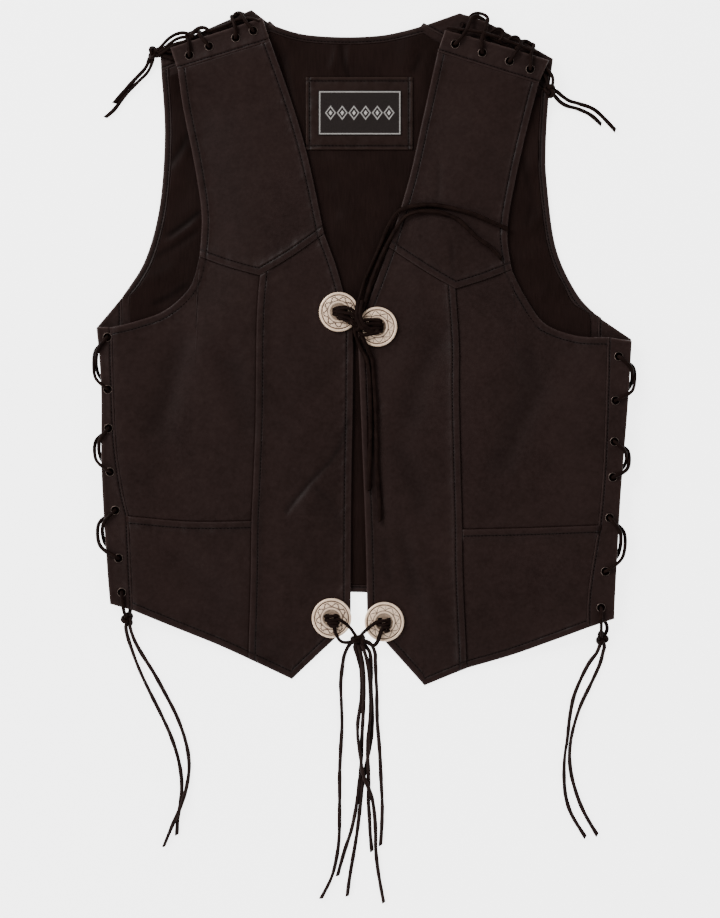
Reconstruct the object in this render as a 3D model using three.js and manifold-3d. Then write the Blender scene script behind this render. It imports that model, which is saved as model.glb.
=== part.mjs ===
// A leather vest in western style, laid flat on a table with its fronts up.
// The lined back lies on the table, the two fronts lie on the lining, and laces join
// them through eyelets along both sides and both shoulders. Four conchos tie the fronts.
// Lengths are millimetres. +X is the vest's left-to-right as it lies, +Y runs from the
// hem to the shoulders, and +Z points up from the table, which is at 0.
import * as THREE from "three";
import { mergeVertices } from "three/addons/utils/BufferGeometryUtils.js";
import Module from "manifold-3d";

const wasm = await Module();
wasm.setup();

// Walls of cloth
const BACK_LEATHER = 1.6;
const FRONT_LEATHER = 1.8;
const LINING = 1.0;
const LABEL_LEATHER = 1.2;
const LABEL_CLOTH = 0.8;
const SEAM = 0.3; // the gap between two pieces at their seam
const TURNED_EDGE = 7; // the lining starts this far inside the back's edges

// Heights of the undersides above the table
const LACED_BACK = 3.9; // a back strip, with a lace passing beneath it
const LACED_FRONT = 9.4; // a front strip, with a lace passing between it and the back strip
const LYING_FRONT = 3.7; // a front's free edge, just above the lining
const PUFF = 2.2; // how far the middle of a front stands above its edges
const LIFT_RUN = { back: 40, front: 55 }; // the leather climbs to a laced strip over this length
const PUFF_RUN = 50;
const PRESSED = { from: 24, run: 30 }; // a concho keeps the leather down around its middle
const DROOP_START = 25; // past the back's hem, a front still stands out level this far
const DROOP_RUN = 50; // and then it sinks to the table over this length

// Laces and eyelets
const LACE = 3.2; // across
const EYELET = { hole: 5, ring: 8.6, proud: 0.6, sides: 8 };
const ABOVE = LACED_FRONT + BACK_LEATHER + 2.5; // a lace's middle where it crosses an eyelet
const BETWEEN = (LACED_BACK + BACK_LEATHER + LACED_FRONT) / 2;
const BENEATH = LACED_BACK - 2;

// Conchos
const CONCHO = { radius: 18.7, slotWide: 4.2, slotLong: 8, slotApart: 8, sides: 18 };
const CONCHO_SEAT = LYING_FRONT + FRONT_LEATHER + 0.3;

// How many steps each stretch of an outline is cut into. Pieces that meet share them.
const STEPS = {
  shoulder: 7, armholeUpper: 8, yokeSide: 3, yokeCentre: 4, armholeLower: 4,
  stripUpper: 10, stripLower: 6, neckLower: 4, frontEdge: 12, hemCentre: 1, hemPoint: 3,
  backShoulder: 4, backNeck: 6, backArmhole: 7, backSide: 9,
};

// Outlines of the fronts, rows of [x, y]. They run from the armhole towards the front
// edge, or downwards.
const FRONTS = {
  left: {
    shoulderTop: [[-182, 282], [-95.5, 310]],
    shoulderSeam: [[-175, 261], [-88, 288]],
    armholeUpper: [[-175, 261], [-169.5, 222], [-159.5, 172], [-153, 125], [-155, 86]],
    neckUpper: [[-88, 288], [-68.5, 233.5], [-52.5, 178.5], [-37.5, 108]],
    yokeSide: [[-155, 86], [-127, 76], [-98, 68]],
    yokeCentre: [[-98, 68], [-67.5, 86.5], [-37.5, 108]],
    armholeLower: [[-155, 86], [-164, 57.5], [-187, 36], [-214.5, 25], [-236.5, 19.5]],
    stripUpper: [[-236.5, 19.5], [-235.5, -24.5], [-233, -86.5], [-227.5, -129], [-221, -158]],
    stripLower: [[-221, -158], [-219, -203.5], [-217, -246.5]],
    stripOuter: [[-251, 19.5], [-247, -37.5], [-246.5, -116.5], [-241.5, -203.5], [-238.5, -240.5]],
    welt: [[-221, -158], [-163.5, -163], [-106, -162.5]],
    verticalUpper: [[-98, 68], [-101, 26.5], [-102.5, -76], [-106, -162.5]],
    verticalLower: [[-106, -162.5], [-107, -229], [-109, -292.5]],
    hemSide: [[-217, -246.5], [-180, -262], [-139.5, -278.5], [-109, -292.5]],
    hemCentre: [[-109, -292.5], [-68, -312]],
    hemPoint: [[-68, -312], [-45, -290], [-27.5, -273.5], [-12.5, -258.5]],
    neckLower: [[-37.5, 108], [-25, 82.5], [-19.5, 57.5], [-10, 17]],
    frontEdge: [[-10, 17], [-10.5, -49.5], [-12, -143], [-12.5, -258.5]],
  },
  right: {
    shoulderTop: [[173.5, 270], [140.5, 280.5], [105.5, 290.5], [76, 298.5]],
    shoulderSeam: [[164, 248], [69, 278]],
    armholeUpper: [[164, 248], [156, 217.5], [142.5, 158], [135, 110.5], [139, 74]],
    neckUpper: [[69, 278], [55.5, 217.5], [42, 158], [23, 95]],
    yokeSide: [[139, 74], [113, 64], [86, 55.5]],
    yokeCentre: [[86, 55.5], [57, 72.5], [23, 95]],
    armholeLower: [[139, 74], [151.5, 49], [170, 23.5], [200, 11.5], [228.5, 10]],
    stripUpper: [[228.5, 10], [227, -50], [224.5, -114], [220, -166.5]],
    stripLower: [[220, -166.5], [210.5, -229], [209.5, -263]],
    stripOuter: [[251.5, 6.5], [247.5, -58], [241, -139.5], [236, -229], [235, -254.5]],
    welt: [[220, -166.5], [156, -169], [92.5, -170.5]],
    verticalUpper: [[86, 55.5], [89.5, 3], [89.5, -50], [92.5, -170.5]],
    verticalLower: [[92.5, -170.5], [93, -216], [97, -301.5]],
    hemSide: [[209.5, -263], [175, -276], [139, -289], [97, -301.5]],
    hemCentre: [[97, -301.5], [57, -318]],
    hemPoint: [[57, -318], [19, -275.5], [3, -257.5]],
    neckLower: [[23, 95], [11, 62.5], [2, 38.5], [-6, 14]],
    frontEdge: [[-6, 14], [-2, -88], [1.5, -180.5], [3, -257.5]],
  },
};

// Outlines of the back, rows of [x, y]
const BACK = {
  neck: [[-88.5, 305], [-68.5, 298.5], [-48, 295], [-16, 293.5], [15, 295], [38, 299], [56, 303.5]],
  hem: [[-209, -241], [-107, -234], [-5.5, -230], [99.5, -239], [200, -251.5]],
  left: {
    shoulderTop: [[-192, 280], [-148.5, 300], [-106, 318.5]],
    shoulderSeam: [[-191, 260.5], [-88.5, 305]],
    armhole: [[-191, 260.5], [-188, 199.5], [-193, 133], [-206.5, 83], [-228, 47.5]],
    side: [[-228, 47.5], [-225.5, -76], [-216, -146.5], [-209, -241]],
    outer: [[-252, 19], [-247, -37.5], [-246.5, -116.5], [-241.5, -203.5], [-238.5, -240]],
  },
  right: {
    shoulderTop: [[178, 272.5], [120.5, 304.5], [90, 315.5]],
    shoulderSeam: [[174, 240], [56, 303.5]],
    armhole: [[174, 240], [171.5, 190], [172.5, 156], [181, 94.5], [201, 51], [220.5, 29.5]],
    side: [[220.5, 29.5], [216.5, -114], [206, -199.5], [200, -251.5]],
    outer: [[251.5, 8.5], [247.5, -58], [241, -139.5], [236, -229], [235, -254]],
  },
};

// Eyelets from the armhole down and from the neck outwards, rows of [x, y]. The side's
// back eyelets lie a little further in than the front's, by inwards.
const EYELETS = {
  side: {
    left: {
      inwards: 4.2,
      front: [[-241, 10], [-240.5, -39], [-240, -75.5], [-238.5, -116.5], [-233.5, -152.5],
        [-230.5, -197.5], [-227.5, -229.5]],
    },
    right: {
      inwards: -4.2,
      front: [[239, -8], [236, -49.5], [235, -88], [233.5, -121.5], [230.5, -159.5],
        [226.5, -210], [222.5, -244]],
    },
  },
  shoulder: {
    left: {
      front: [[-104, 297.5], [-120.5, 291], [-145.5, 283], [-164, 274.5]],
      back: [[-106.5, 305.5], [-123.5, 299], [-148, 290.5], [-166.5, 282]],
    },
    right: {
      front: [[85.5, 285], [111, 277], [136.5, 269], [156, 261.5]],
      back: [[93, 304.5], [117, 293], [140, 281], [160.5, 270.5]],
    },
  },
};

// The folds of the fronts: soft ridges, or troughs where the height is negative
const FOLDS = [
  { side: "left", from: [-22.5, -82], to: [-79, -161.5], width: 15, height: 2.4 },
  { side: "left", from: [-42, -75], to: [-98, -150], width: 15, height: -1.6 },
  { side: "left", from: [-55.5, -133.5], to: [-30, -176], width: 13, height: 1.8 },
  { side: "left", from: [-173, 13], to: [-195.5, -67.5], width: 20, height: -2 },
  { side: "left", from: [-134.5, -4.5], to: [-111, -58.5], width: 18, height: -1.8 },
  { side: "left", from: [-177.5, -203], to: [-139, -231], width: 18, height: -1.6 },
  { side: "right", from: [70.5, -4.5], to: [42.5, -76], width: 18, height: -2 },
  { side: "right", from: [33, -106], to: [62, -145], width: 15, height: -1.8 },
  { side: "right", from: [160, -9.5], to: [124, -127], width: 20, height: -2.2 },
  { side: "right", from: [35, -240], to: [62, -240], width: 14, height: 1.6 },
];

// Conchos, by the place of the middle
const CONCHOS = {
  upper_left: [-23.7, 34],
  upper_right: [12.5, 20],
  lower_left: [-30.5, -254],
  lower_right: [19, -257.5],
};

// Knots, by the middle and the half sizes along x, y and z
const KNOTS = {
  upper: { at: [-7, 22.5, 12.6], half: [5, 5, 3.6] },
  lower: { at: [-5, -274.5, 4.4], half: [6.5, 4.2, 4] },
  side_left: { at: [-222.5, -255, 4.6], half: [4.2, 4.6, 4] },
  side_right: { at: [224, -273, 4.6], half: [4.2, 4.6, 4] },
  shoulder_left: { at: [-198, 278, 4.6], half: [4, 4.4, 4] },
  shoulder_right: { at: [174.5, 241.5, 9.9], half: [4, 4.4, 3.8] },
};

// Where each lacing leaves its last eyelets for its knot, rows of [x, y, z], from the
// strand that lies lower to the strand that lies higher
const LACING_ENDS = {
  side_left: [
    [[-221, -238, 1.9], [-220, -247.5, 3.4]],
    [[-226.5, -238, 13.6], [-225.5, -246.5, 12.6], [-224.5, -250.5, 9.6]],
  ],
  side_right: [
    [[222, -252, 1.9], [229, -259.5, 2.4], [229, -267, 4.4]],
    [[222.5, -254, 13.6], [222.5, -263.5, 12.6], [222.8, -269.5, 10.4]],
  ],
  shoulder_left: [
    [[-181, 277.5, 7.45], [-190, 283, 7.6], [-195.5, 284.5, 7.6]],
    [[-178, 271, 7.45], [-188.5, 273.5, 7.6], [-195, 271.5, 7.4]],
  ],
  shoulder_right: [
    [[168, 265.5, 7.45], [177, 257.5, 7.9], [177.8, 248.5, 10]],
    [[166, 259.5, 7.45], [172, 254.5, 7.9], [172.8, 247.5, 10]],
  ],
};

// Laces through the conchos, from a slot to the knot, rows of [x, y, z]
const CONCHO_LACES = {
  upper_left: [[-27.7, 34, 6.4], [-27.7, 34, 11.6], [-19.7, 33.4, 11.7], [-14, 28, 12.2]],
  upper_right: [[16.5, 19, 6.4], [16.5, 19, 11.6], [8.5, 18.4, 11.7], [-0.4, 20, 12.4]],
  lower_left_short: [[-26.5, -254, 6.4], [-26.5, -254, 11.6], [-20.5, -256, 11.6], [-12.5, -263, 10.6],
    [-10, -267.5, 8]],
  lower_left_long: [[-34.5, -254, 6.4], [-34.5, -254, 11.6], [-28.6, -259.4, 11.6], [-26.9, -267.5, 10.8],
    [-23, -275.5, 9.2], [-17.5, -277.3, 6.8], [-13, -276.4, 5.3]],
  lower_right_short: [[15, -257.5, 6.4], [15, -257.5, 11.6], [9, -258.7, 11.6], [2.5, -264.5, 10.6],
    [-1.5, -268.3, 8]],
  lower_right_long: [[23, -257.5, 6.4], [23, -257.5, 11.6], [16.6, -263.6, 11.6], [14.3, -271.5, 11.2],
    [12.4, -276.5, 10.8], [9.5, -280.2, 7.6], [5.5, -278.8, 5.6], [2.6, -276.6, 5.2]],
};

// Free tails of the laces, rows of [x, y, z] chosen by hand from the knot to the cut end
const TAILS = {
  side_left_1: [[-224.5, -262.5, 3.2], [-223.5, -270.5, 1.8], [-220.5, -280, 1.8], [-213, -299, 1.8],
    [-203, -321, 1.8], [-192, -344.5, 1.8], [-182.5, -366, 1.8], [-175, -388, 1.8],
    [-171.5, -408.5, 1.8], [-172.5, -427, 1.8], [-175.5, -442.5, 1.8], [-177, -459, 1.8]],
  side_left_2: [[-220.5, -262.5, 3.2], [-219, -269, 1.8], [-215.5, -277.5, 1.8], [-209, -288.5, 1.8],
    [-198, -305.5, 1.8], [-187.5, -325, 1.8], [-176.5, -348, 1.8], [-168.5, -371.5, 1.8],
    [-165, -392.5, 1.8], [-166.5, -411.5, 3.2], [-171.5, -430, 5.6], [-179.5, -447.5, 4.2],
    [-189, -469, 1.8]],
  side_right_1: [[221.7, -281, 3.2], [219, -287.5, 1.8], [212, -297.5, 1.8], [203.5, -315, 1.8],
    [197.5, -330.5, 1.8], [193.5, -349, 1.8], [191, -369.5, 1.8], [189, -385, 1.8],
    [189, -405, 1.8], [191, -424, 1.8], [196.5, -441, 1.8], [208.5, -461.5, 1.8]],
  side_right_2: [[226.5, -280.8, 3.2], [225.5, -286.5, 1.8], [222.5, -297, 1.8], [214, -315, 1.8],
    [205.5, -333.5, 1.8], [199.5, -352, 1.8], [195, -371, 1.8], [193.5, -386.5, 1.8],
    [195, -402, 1.8], [200, -419, 1.8], [207.5, -436.5, 1.8], [220, -459, 1.8]],
  shoulder_left_1: [[-199.5, 270.5, 3.2], [-202, 264.5, 1.8], [-206, 258.5, 1.8], [-214.5, 250, 1.8],
    [-225, 238.5, 1.8], [-235, 225, 1.8], [-243.5, 217.5, 1.8]],
  shoulder_left_2: [[-203.5, 273, 3.2], [-206, 268, 1.8], [-209.5, 262.5, 1.8], [-218, 253.5, 1.8],
    [-229, 242, 1.8], [-236, 232.5, 1.8]],
  shoulder_right_1: [[181, 241, 9], [187, 237, 5.6], [194, 233, 2.4], [203.5, 228.5, 1.8],
    [220, 221, 1.8], [237.5, 205.5, 1.8]],
  shoulder_right_2: [[179.5, 236.5, 9], [185, 231, 5.6], [191, 227, 2.4], [198.5, 224, 1.8],
    [216, 216, 1.8], [224, 210.5, 1.8]],
  upper_up_1: [[-8.5, 30, 12.4], [-6.5, 37, 10.8], [-3.5, 47, 7.6], [1, 64, 5.6], [8, 81, 5.2],
    [15.5, 98.5, 5.2], [23, 114.5, 6.4], [31.5, 127, 8], [43, 132.5, 8.6], [59.5, 135, 9.4],
    [75.5, 133.5, 9.8], [97, 127.5, 9.8], [113, 121, 9.4], [127, 115, 8.2], [135.5, 112, 7.8]],
  upper_up_2: [[-4, 29.5, 12.4], [-1.5, 36, 10.8], [1.5, 45.5, 8.2], [6.2, 61, 7.7], [13, 77.5, 7.7],
    [20.5, 95, 7.7], [28, 109.5, 7.8], [35, 120.5, 7.8], [42.5, 126, 8.4], [54, 128.5, 9.2],
    [70, 127, 9.8], [86, 121.5, 9.8], [97, 113, 9.8], [107.5, 103.5, 9.8], [119.5, 95, 9.2],
    [129, 84, 8]],
  upper_down_1: [[-8.5, 15, 11.6], [-6.5, 9, 10], [-3.5, 2, 8.4], [0.5, -5.5, 7.7], [3.5, -13, 7.6],
    [5, -25.5, 7.6], [5.5, -41, 7.6], [5.5, -67.5, 7.6], [5.5, -93, 7.6], [5.5, -114.5, 7.6],
    [5.5, -133.5, 7.6]],
  upper_down_2: [[-3.5, 15, 12.4], [-1, 8.5, 11.6], [2.5, 1.5, 10.6], [6, -5.5, 8.6], [8.5, -13, 8],
    [9.5, -25.5, 8], [10, -40.5, 8], [10.5, -67, 8], [12, -93, 8], [13.5, -128, 8.2],
    [15, -163, 8.2]],
  lower_1: [[-12, -277.4, 1.8], [-15, -281, 1.7], [-18.5, -288.5, 1.8], [-20, -297.5, 1.8], [-21.5, -316, 1.8],
    [-21, -334.5, 1.8], [-21, -354.5, 1.8], [-22.5, -378, 1.8], [-23, -399.5, 1.8],
    [-22.5, -425, 1.8], [-23.5, -458, 1.8], [-25.5, -479.5, 1.8], [-31, -499, 1.8],
    [-40, -518.5, 1.8]],
  lower_2: [[-8.5, -281.5, 2.6], [-7.5, -292.5, 1.8], [-7, -304.5, 1.8], [-6.5, -321.5, 1.8],
    [-7, -336.5, 1.8], [-7, -351.5, 1.8], [-5.5, -366.5, 3.6], [-3, -384.5, 5.6],
    [-0.5, -401.5, 5.8], [4, -413.5, 5.9], [7.5, -425, 4.5], [9.5, -441, 1.8], [10.5, -457, 1.8],
    [11, -472.5, 1.8], [13.5, -492, 1.8], [19, -522.5, 1.8]],
  lower_3: [[-4.5, -281.5, 2.6], [-3, -292.5, 1.8], [-2.5, -304.5, 1.8], [-2, -321.5, 1.8],
    [-1.5, -336.5, 1.8], [-1, -351.5, 1.8], [-1.5, -366.5, 1.8], [-2, -384.5, 1.8],
    [-3.5, -401.5, 1.8], [-5.5, -415.5, 1.8], [-7.5, -429.5, 1.8], [-13.5, -453, 1.8],
    [-20, -474, 1.8], [-24.5, -497, 1.8]],
  lower_4: [[0.6, -280, 1.65], [2.8, -282.6, 1.7], [5, -286.5, 1.8], [6, -293.5, 1.8], [6.5, -304.5, 1.8], [7, -319.5, 1.8],
    [8, -336.5, 1.8], [8, -351.5, 1.8], [6.5, -366.5, 1.8], [3.5, -383.5, 1.8], [0.5, -401.5, 1.8],
    [-1.5, -415.5, 1.8], [-3, -429.5, 1.8], [-6.5, -453, 1.8], [-10, -476, 1.8],
    [-15.5, -516.5, 1.8]],
  lower_5: [[-1, -281.5, 5.2], [1.3, -292.5, 1.8], [2, -304.5, 1.8], [2.5, -319.5, 1.8],
    [2.8, -336.5, 1.8], [3.2, -351.5, 2.4], [4, -366.5, 5.2], [4, -383.5, 5.6],
    [4.4, -397, 4.8], [4.2, -413.5, 1.8], [3.7, -427, 1.8], [4.5, -441, 1.8], [5.5, -457, 1.8],
    [7.5, -474, 1.8]],
  lower_6: [[3, -276.6, 1.65], [7, -279.8, 1.65], [10, -287.5, 1.8], [10.5, -295, 1.8], [11.5, -310, 1.8], [12.5, -323.5, 1.8],
    [12.5, -338.5, 1.8], [12.5, -353.5, 1.8], [13.5, -370, 1.8], [15.5, -396.5, 1.8],
    [17.5, -425.5, 1.8], [17, -445, 1.8], [15, -468.5, 1.8]],
};
const TAIL_STEP = 13;
const KNOT_GAP = 0.1; // a cord's end stops this short of its knot
const KNOT_REACH = { from: -3, to: 9, step: 0.1 }; // how far an end may move to its knot

// Where the middle of the vest's own box lies on the table
const MIDDLE = { x: 0.1, y: 1.14 };

const leather = new THREE.MeshStandardMaterial({ color: 0x2a1f1d, roughness: 0.6, metalness: 0 });
const satin = new THREE.MeshStandardMaterial({ color: 0x1e1413, roughness: 0.45, metalness: 0 });
const weave = new THREE.MeshStandardMaterial({ color: 0x17100f, roughness: 0.8, metalness: 0 });
const lace = new THREE.MeshStandardMaterial({ color: 0x1a1312, roughness: 0.7, metalness: 0 });
const nickel = new THREE.MeshStandardMaterial({ color: 0xb9ab9c, roughness: 0.35, metalness: 1 });

const vest = new THREE.Group();
vest.name = "vest";

function add(name, geometry, material) {
  const mesh = new THREE.Mesh(geometry, material.clone());
  mesh.name = name;
  vest.add(mesh);
}

function smooth(t) {
  const s = Math.min(Math.max(t, 0), 1);
  return s * s * (3 - 2 * s);
}

// A stretch of an outline through the rows of a table, in equal steps
function stretch(table, steps) {
  const curve = new THREE.SplineCurve(table.map(([x, y]) => new THREE.Vector2(x, y)));
  return curve.getSpacedPoints(steps).map((p) => [p.x, p.y]);
}

function join(...stretches) {
  return stretches.flatMap((points, i) => (i === 0 ? points : points.slice(1)));
}

// The point at t from 0 to 1 along a stretch, by its steps
function along(points, t) {
  const at = t * (points.length - 1);
  const i = Math.min(Math.floor(at), points.length - 2);
  const s = at - i;
  return [0, 1].map((k) => points[i][k] * (1 - s) + points[i + 1][k] * s);
}

// The distance of a place from a line of points
function distance(points, x, y) {
  let least = Infinity;
  for (let i = 0; i < points.length - 1; i++) {
    const [ax, ay] = points[i];
    const [bx, by] = points[i + 1];
    const length = (bx - ax) ** 2 + (by - ay) ** 2;
    const t = Math.min(Math.max(((x - ax) * (bx - ax) + (y - ay) * (by - ay)) / length, 0), 1);
    least = Math.min(least, Math.hypot(x - ax - t * (bx - ax), y - ay - t * (by - ay)));
  }
  return least;
}

// A sheet of places between four edges, blended from them (a Coons patch). Each edge is
// kept exactly, and inside, the two blends of facing edges are added and the blend of the
// four corners is taken off.
function patch({ top, bottom, left, right, columns, rows }) {
  const spot = (u, v) => {
    const [t, b, l, r] = [along(top, u), along(bottom, u), along(left, v), along(right, v)];
    const [tl, tr, bl, br] = [top[0], top.at(-1), bottom[0], bottom.at(-1)];
    return [0, 1].map((k) => {
      const facing = t[k] * (1 - v) + b[k] * v + l[k] * (1 - u) + r[k] * u;
      const corners = (tl[k] * (1 - u) + tr[k] * u) * (1 - v) + (bl[k] * (1 - u) + br[k] * u) * v;
      return facing - corners;
    });
  };
  const us = columns ?? top.map((_, i) => i / (top.length - 1));
  const vs = rows ?? left.map((_, i) => i / (left.length - 1));
  return vs.map((v) => us.map((u) => spot(u, v)));
}

// The places of a sheet's border, counted round, as [row, column]
function border(sheet) {
  const [rows, columns] = [sheet.length - 1, sheet[0].length - 1];
  const round = [];
  for (let j = 0; j < columns; j++) round.push([0, j]);
  for (let i = 0; i < rows; i++) round.push([i, columns]);
  for (let j = columns; j > 0; j--) round.push([rows, j]);
  for (let i = rows; i > 0; i--) round.push([i, 0]);
  return round;
}

// Moves a sheet's border inwards by an even margin, with mitred corners
function trimmed(sheet, margin) {
  const round = border(sheet);
  const places = round.map(([i, j]) => sheet[i][j]);
  const n = places.length;
  const turn = places.reduce((sum, [x, y], k) => {
    const [nx, ny] = places[(k + 1) % n];
    return sum + x * ny - nx * y;
  }, 0);
  const inward = Math.sign(turn);
  const normal = (a, b) => {
    const length = Math.hypot(b[0] - a[0], b[1] - a[1]);
    return [(-inward * (b[1] - a[1])) / length, (inward * (b[0] - a[0])) / length];
  };
  const cut = sheet.map((row) => row.map((place) => [...place]));
  round.forEach(([i, j], k) => {
    const before = normal(places[(k + n - 1) % n], places[k]);
    const after = normal(places[k], places[(k + 1) % n]);
    const share = 1 + before[0] * after[0] + before[1] * after[1];
    for (const axis of [0, 1]) {
      cut[i][j][axis] += (margin * (before[axis] + after[axis])) / share;
    }
  });
  return cut;
}

// A wall of cloth on a sheet of places. under gives the height of its underside.
function wall(sheet, under, thickness) {
  const [rows, columns] = [sheet.length, sheet[0].length];
  const spots = [];
  for (const raised of [0, thickness]) {
    for (const row of sheet) {
      for (const [x, y] of row) spots.push(x, y, under(x, y) + raised);
    }
  }
  const upper = rows * columns;
  const at = (i, j) => i * columns + j;
  const faces = [];
  for (let i = 0; i < rows - 1; i++) {
    for (let j = 0; j < columns - 1; j++) {
      const [a, b, c, d] = [at(i, j), at(i, j + 1), at(i + 1, j + 1), at(i + 1, j)];
      faces.push([a, b, c], [a, c, d]);
      faces.push([upper + a, upper + c, upper + b], [upper + a, upper + d, upper + c]);
    }
  }
  const round = border(sheet).map(([i, j]) => at(i, j));
  round.forEach((a, k) => {
    const b = round[(k + 1) % round.length];
    faces.push([a, upper + a, upper + b], [a, upper + b, b]);
  });
  // Rows run down and columns run right on the vest's left half, and mirrored on the other
  const [p, q, r] = [sheet[0][0], sheet[0][columns - 1], sheet[rows - 1][0]];
  const side = (q[0] - p[0]) * (r[1] - p[1]) - (q[1] - p[1]) * (r[0] - p[0]);
  const geometry = new THREE.BufferGeometry();
  geometry.setAttribute("position", new THREE.Float32BufferAttribute(spots, 3));
  geometry.setIndex(faces.flatMap(([a, b, c]) => (side < 0 ? [a, b, c] : [a, c, b])));
  return geometry;
}

function solid(geometry) {
  const bare = geometry.clone();
  bare.deleteAttribute("normal");
  bare.deleteAttribute("uv");
  const merged = mergeVertices(bare, 1e-4);
  return new wasm.Manifold(new wasm.Mesh({
    numProp: 3,
    vertProperties: new Float32Array(merged.attributes.position.array),
    triVerts: new Uint32Array(merged.index.array),
  }));
}

function geometryOf(manifold) {
  const mesh = manifold.getMesh();
  const geometry = new THREE.BufferGeometry();
  geometry.setAttribute("position", new THREE.BufferAttribute(mesh.vertProperties, mesh.numProp));
  geometry.setIndex(new THREE.BufferAttribute(mesh.triVerts, 1));
  return geometry;
}

// An upright post between two heights
function post([x, y], across, low, high, sides) {
  const geometry = new THREE.CylinderGeometry(across / 2, across / 2, high - low, sides);
  return geometry.rotateX(Math.PI / 2).translate(x, y, (low + high) / 2);
}

// Sets eyelets into a flat strip: a ring proud of its top where they show, and the hole
function punched(geometry, eyelets, under, thickness, ringed) {
  let strip = solid(geometry);
  const top = under + thickness;
  for (const place of eyelets) {
    if (ringed) {
      const ring = post(place, EYELET.ring, under + thickness / 2, top + EYELET.proud, EYELET.sides);
      strip = strip.add(solid(ring));
    }
  }
  for (const place of eyelets) {
    strip = strip.subtract(solid(post(place, EYELET.hole, under - 1, top + 2, EYELET.sides)));
  }
  return geometryOf(strip);
}

// A path whose stations are the points it is given, for a lace with short turns
class Threaded extends THREE.Curve {
  constructor(points) {
    super();
    this.points = points.map((p) => new THREE.Vector3(...p));
  }
  getPoint(t, target = new THREE.Vector3()) {
    const at = t * (this.points.length - 1);
    const i = Math.min(Math.floor(at), this.points.length - 2);
    return target.lerpVectors(this.points[i], this.points[i + 1], at - i);
  }
  getPointAt(u, target) {
    return this.getPoint(u, target);
  }
  getTangentAt(u, target = new THREE.Vector3()) {
    const last = this.points.length - 1;
    const i = Math.round(u * last);
    target.set(0, 0, 0);
    for (const k of [i - 1, i]) {
      if (k < 0 || k >= last) continue;
      target.add(this.points[k + 1].clone().sub(this.points[k]).normalize());
    }
    return target.normalize();
  }
}

function tube(path, steps, sides, across = LACE) {
  const section = new THREE.Shape();
  for (let k = 0; k < sides; k++) {
    const angle = (2 * Math.PI * k) / sides;
    const [x, y] = [(across / 2) * Math.cos(angle), (across / 2) * Math.sin(angle)];
    if (k === 0) section.moveTo(x, y);
    else section.lineTo(x, y);
  }
  return new THREE.ExtrudeGeometry(section, { steps, extrudePath: path, curveSegments: 1 });
}

// How much of the full lift a place has: 1 at a laced seam and 0 well inside
function lift(seams, run, x, y) {
  return Math.max(...seams.map((seam) => smooth(1 - distance(seam, x, y) / run)));
}

// The back: one panel of leather and its lining, and four strips for the laces
function makeBack() {
  const cut = {};
  for (const side of ["left", "right"]) {
    const table = BACK[side];
    cut[side] = {
      shoulderTop: stretch(table.shoulderTop, STEPS.backShoulder),
      shoulderSeam: stretch(table.shoulderSeam, STEPS.backShoulder),
      armhole: stretch(table.armhole, STEPS.backArmhole),
      side: stretch(table.side, STEPS.backSide),
      outer: stretch(table.outer, STEPS.backSide),
    };
  }
  const seams = ["left", "right"].flatMap((side) => [cut[side].side, cut[side].shoulderSeam]);
  const under = (x, y) => LACED_BACK * lift(seams, LIFT_RUN.back, x, y);
  const edges = {
    top: join(cut.left.shoulderSeam, stretch(BACK.neck, STEPS.backNeck),
      [...cut.right.shoulderSeam].reverse()),
    bottom: stretch(BACK.hem, 2 * STEPS.backShoulder + STEPS.backNeck),
    left: join(cut.left.armhole, cut.left.side),
    right: join(cut.right.armhole, cut.right.side),
  };
  // An extra row and column just inside each edge, where the lining starts
  const steps = (count, length) => {
    const even = Array.from({ length: count + 1 }, (_, i) => i / count);
    const rim = TURNED_EDGE / length;
    return [0, rim, ...even.slice(1, -1), 1 - rim, 1];
  };
  const sheet = patch({
    ...edges,
    columns: steps(edges.top.length - 1, 380),
    rows: steps(edges.left.length - 1, 520),
  });
  add("back_panel", wall(trimmed(sheet, SEAM / 2), under, BACK_LEATHER), leather);
  const inner = sheet.slice(1, -1).map((row) => row.slice(1, -1));
  const onLeather = (x, y) => under(x, y) + BACK_LEATHER + SEAM;
  add("back_lining", wall(trimmed(inner, SEAM), onLeather, LINING), satin);
  for (const side of ["left", "right"]) {
    const c = cut[side];
    const sideSheet = patch({
      top: [c.outer[0], c.side[0]],
      bottom: [c.outer.at(-1), c.side.at(-1)],
      left: c.outer,
      right: c.side,
    });
    const shoulderSheet = patch({
      top: c.shoulderTop,
      bottom: c.shoulderSeam,
      left: [c.shoulderTop[0], c.shoulderSeam[0]],
      right: [c.shoulderTop.at(-1), c.shoulderSeam.at(-1)],
    });
    for (const [kind, piece] of [["side", sideSheet], ["shoulder", shoulderSheet]]) {
      const flat = wall(trimmed(piece, SEAM / 2), () => LACED_BACK, BACK_LEATHER);
      const eyelets = backEyelets(EYELETS[kind][side]);
      add(`${kind}_strip_back_${side}`, punched(flat, eyelets, LACED_BACK, BACK_LEATHER, false), leather);
    }
  }
}

function backEyelets({ front, back, inwards }) {
  return back ?? front.map(([x, y]) => [x + inwards, y]);
}

// The height of the folds at a place: each fades to both sides and towards its ends
function folded(side, x, y) {
  let height = 0;
  for (const fold of FOLDS.filter((f) => f.side === side)) {
    const away = distance([fold.from, fold.to], x, y);
    height += fold.height * Math.exp(-((away / fold.width) ** 2));
  }
  return height;
}

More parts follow.
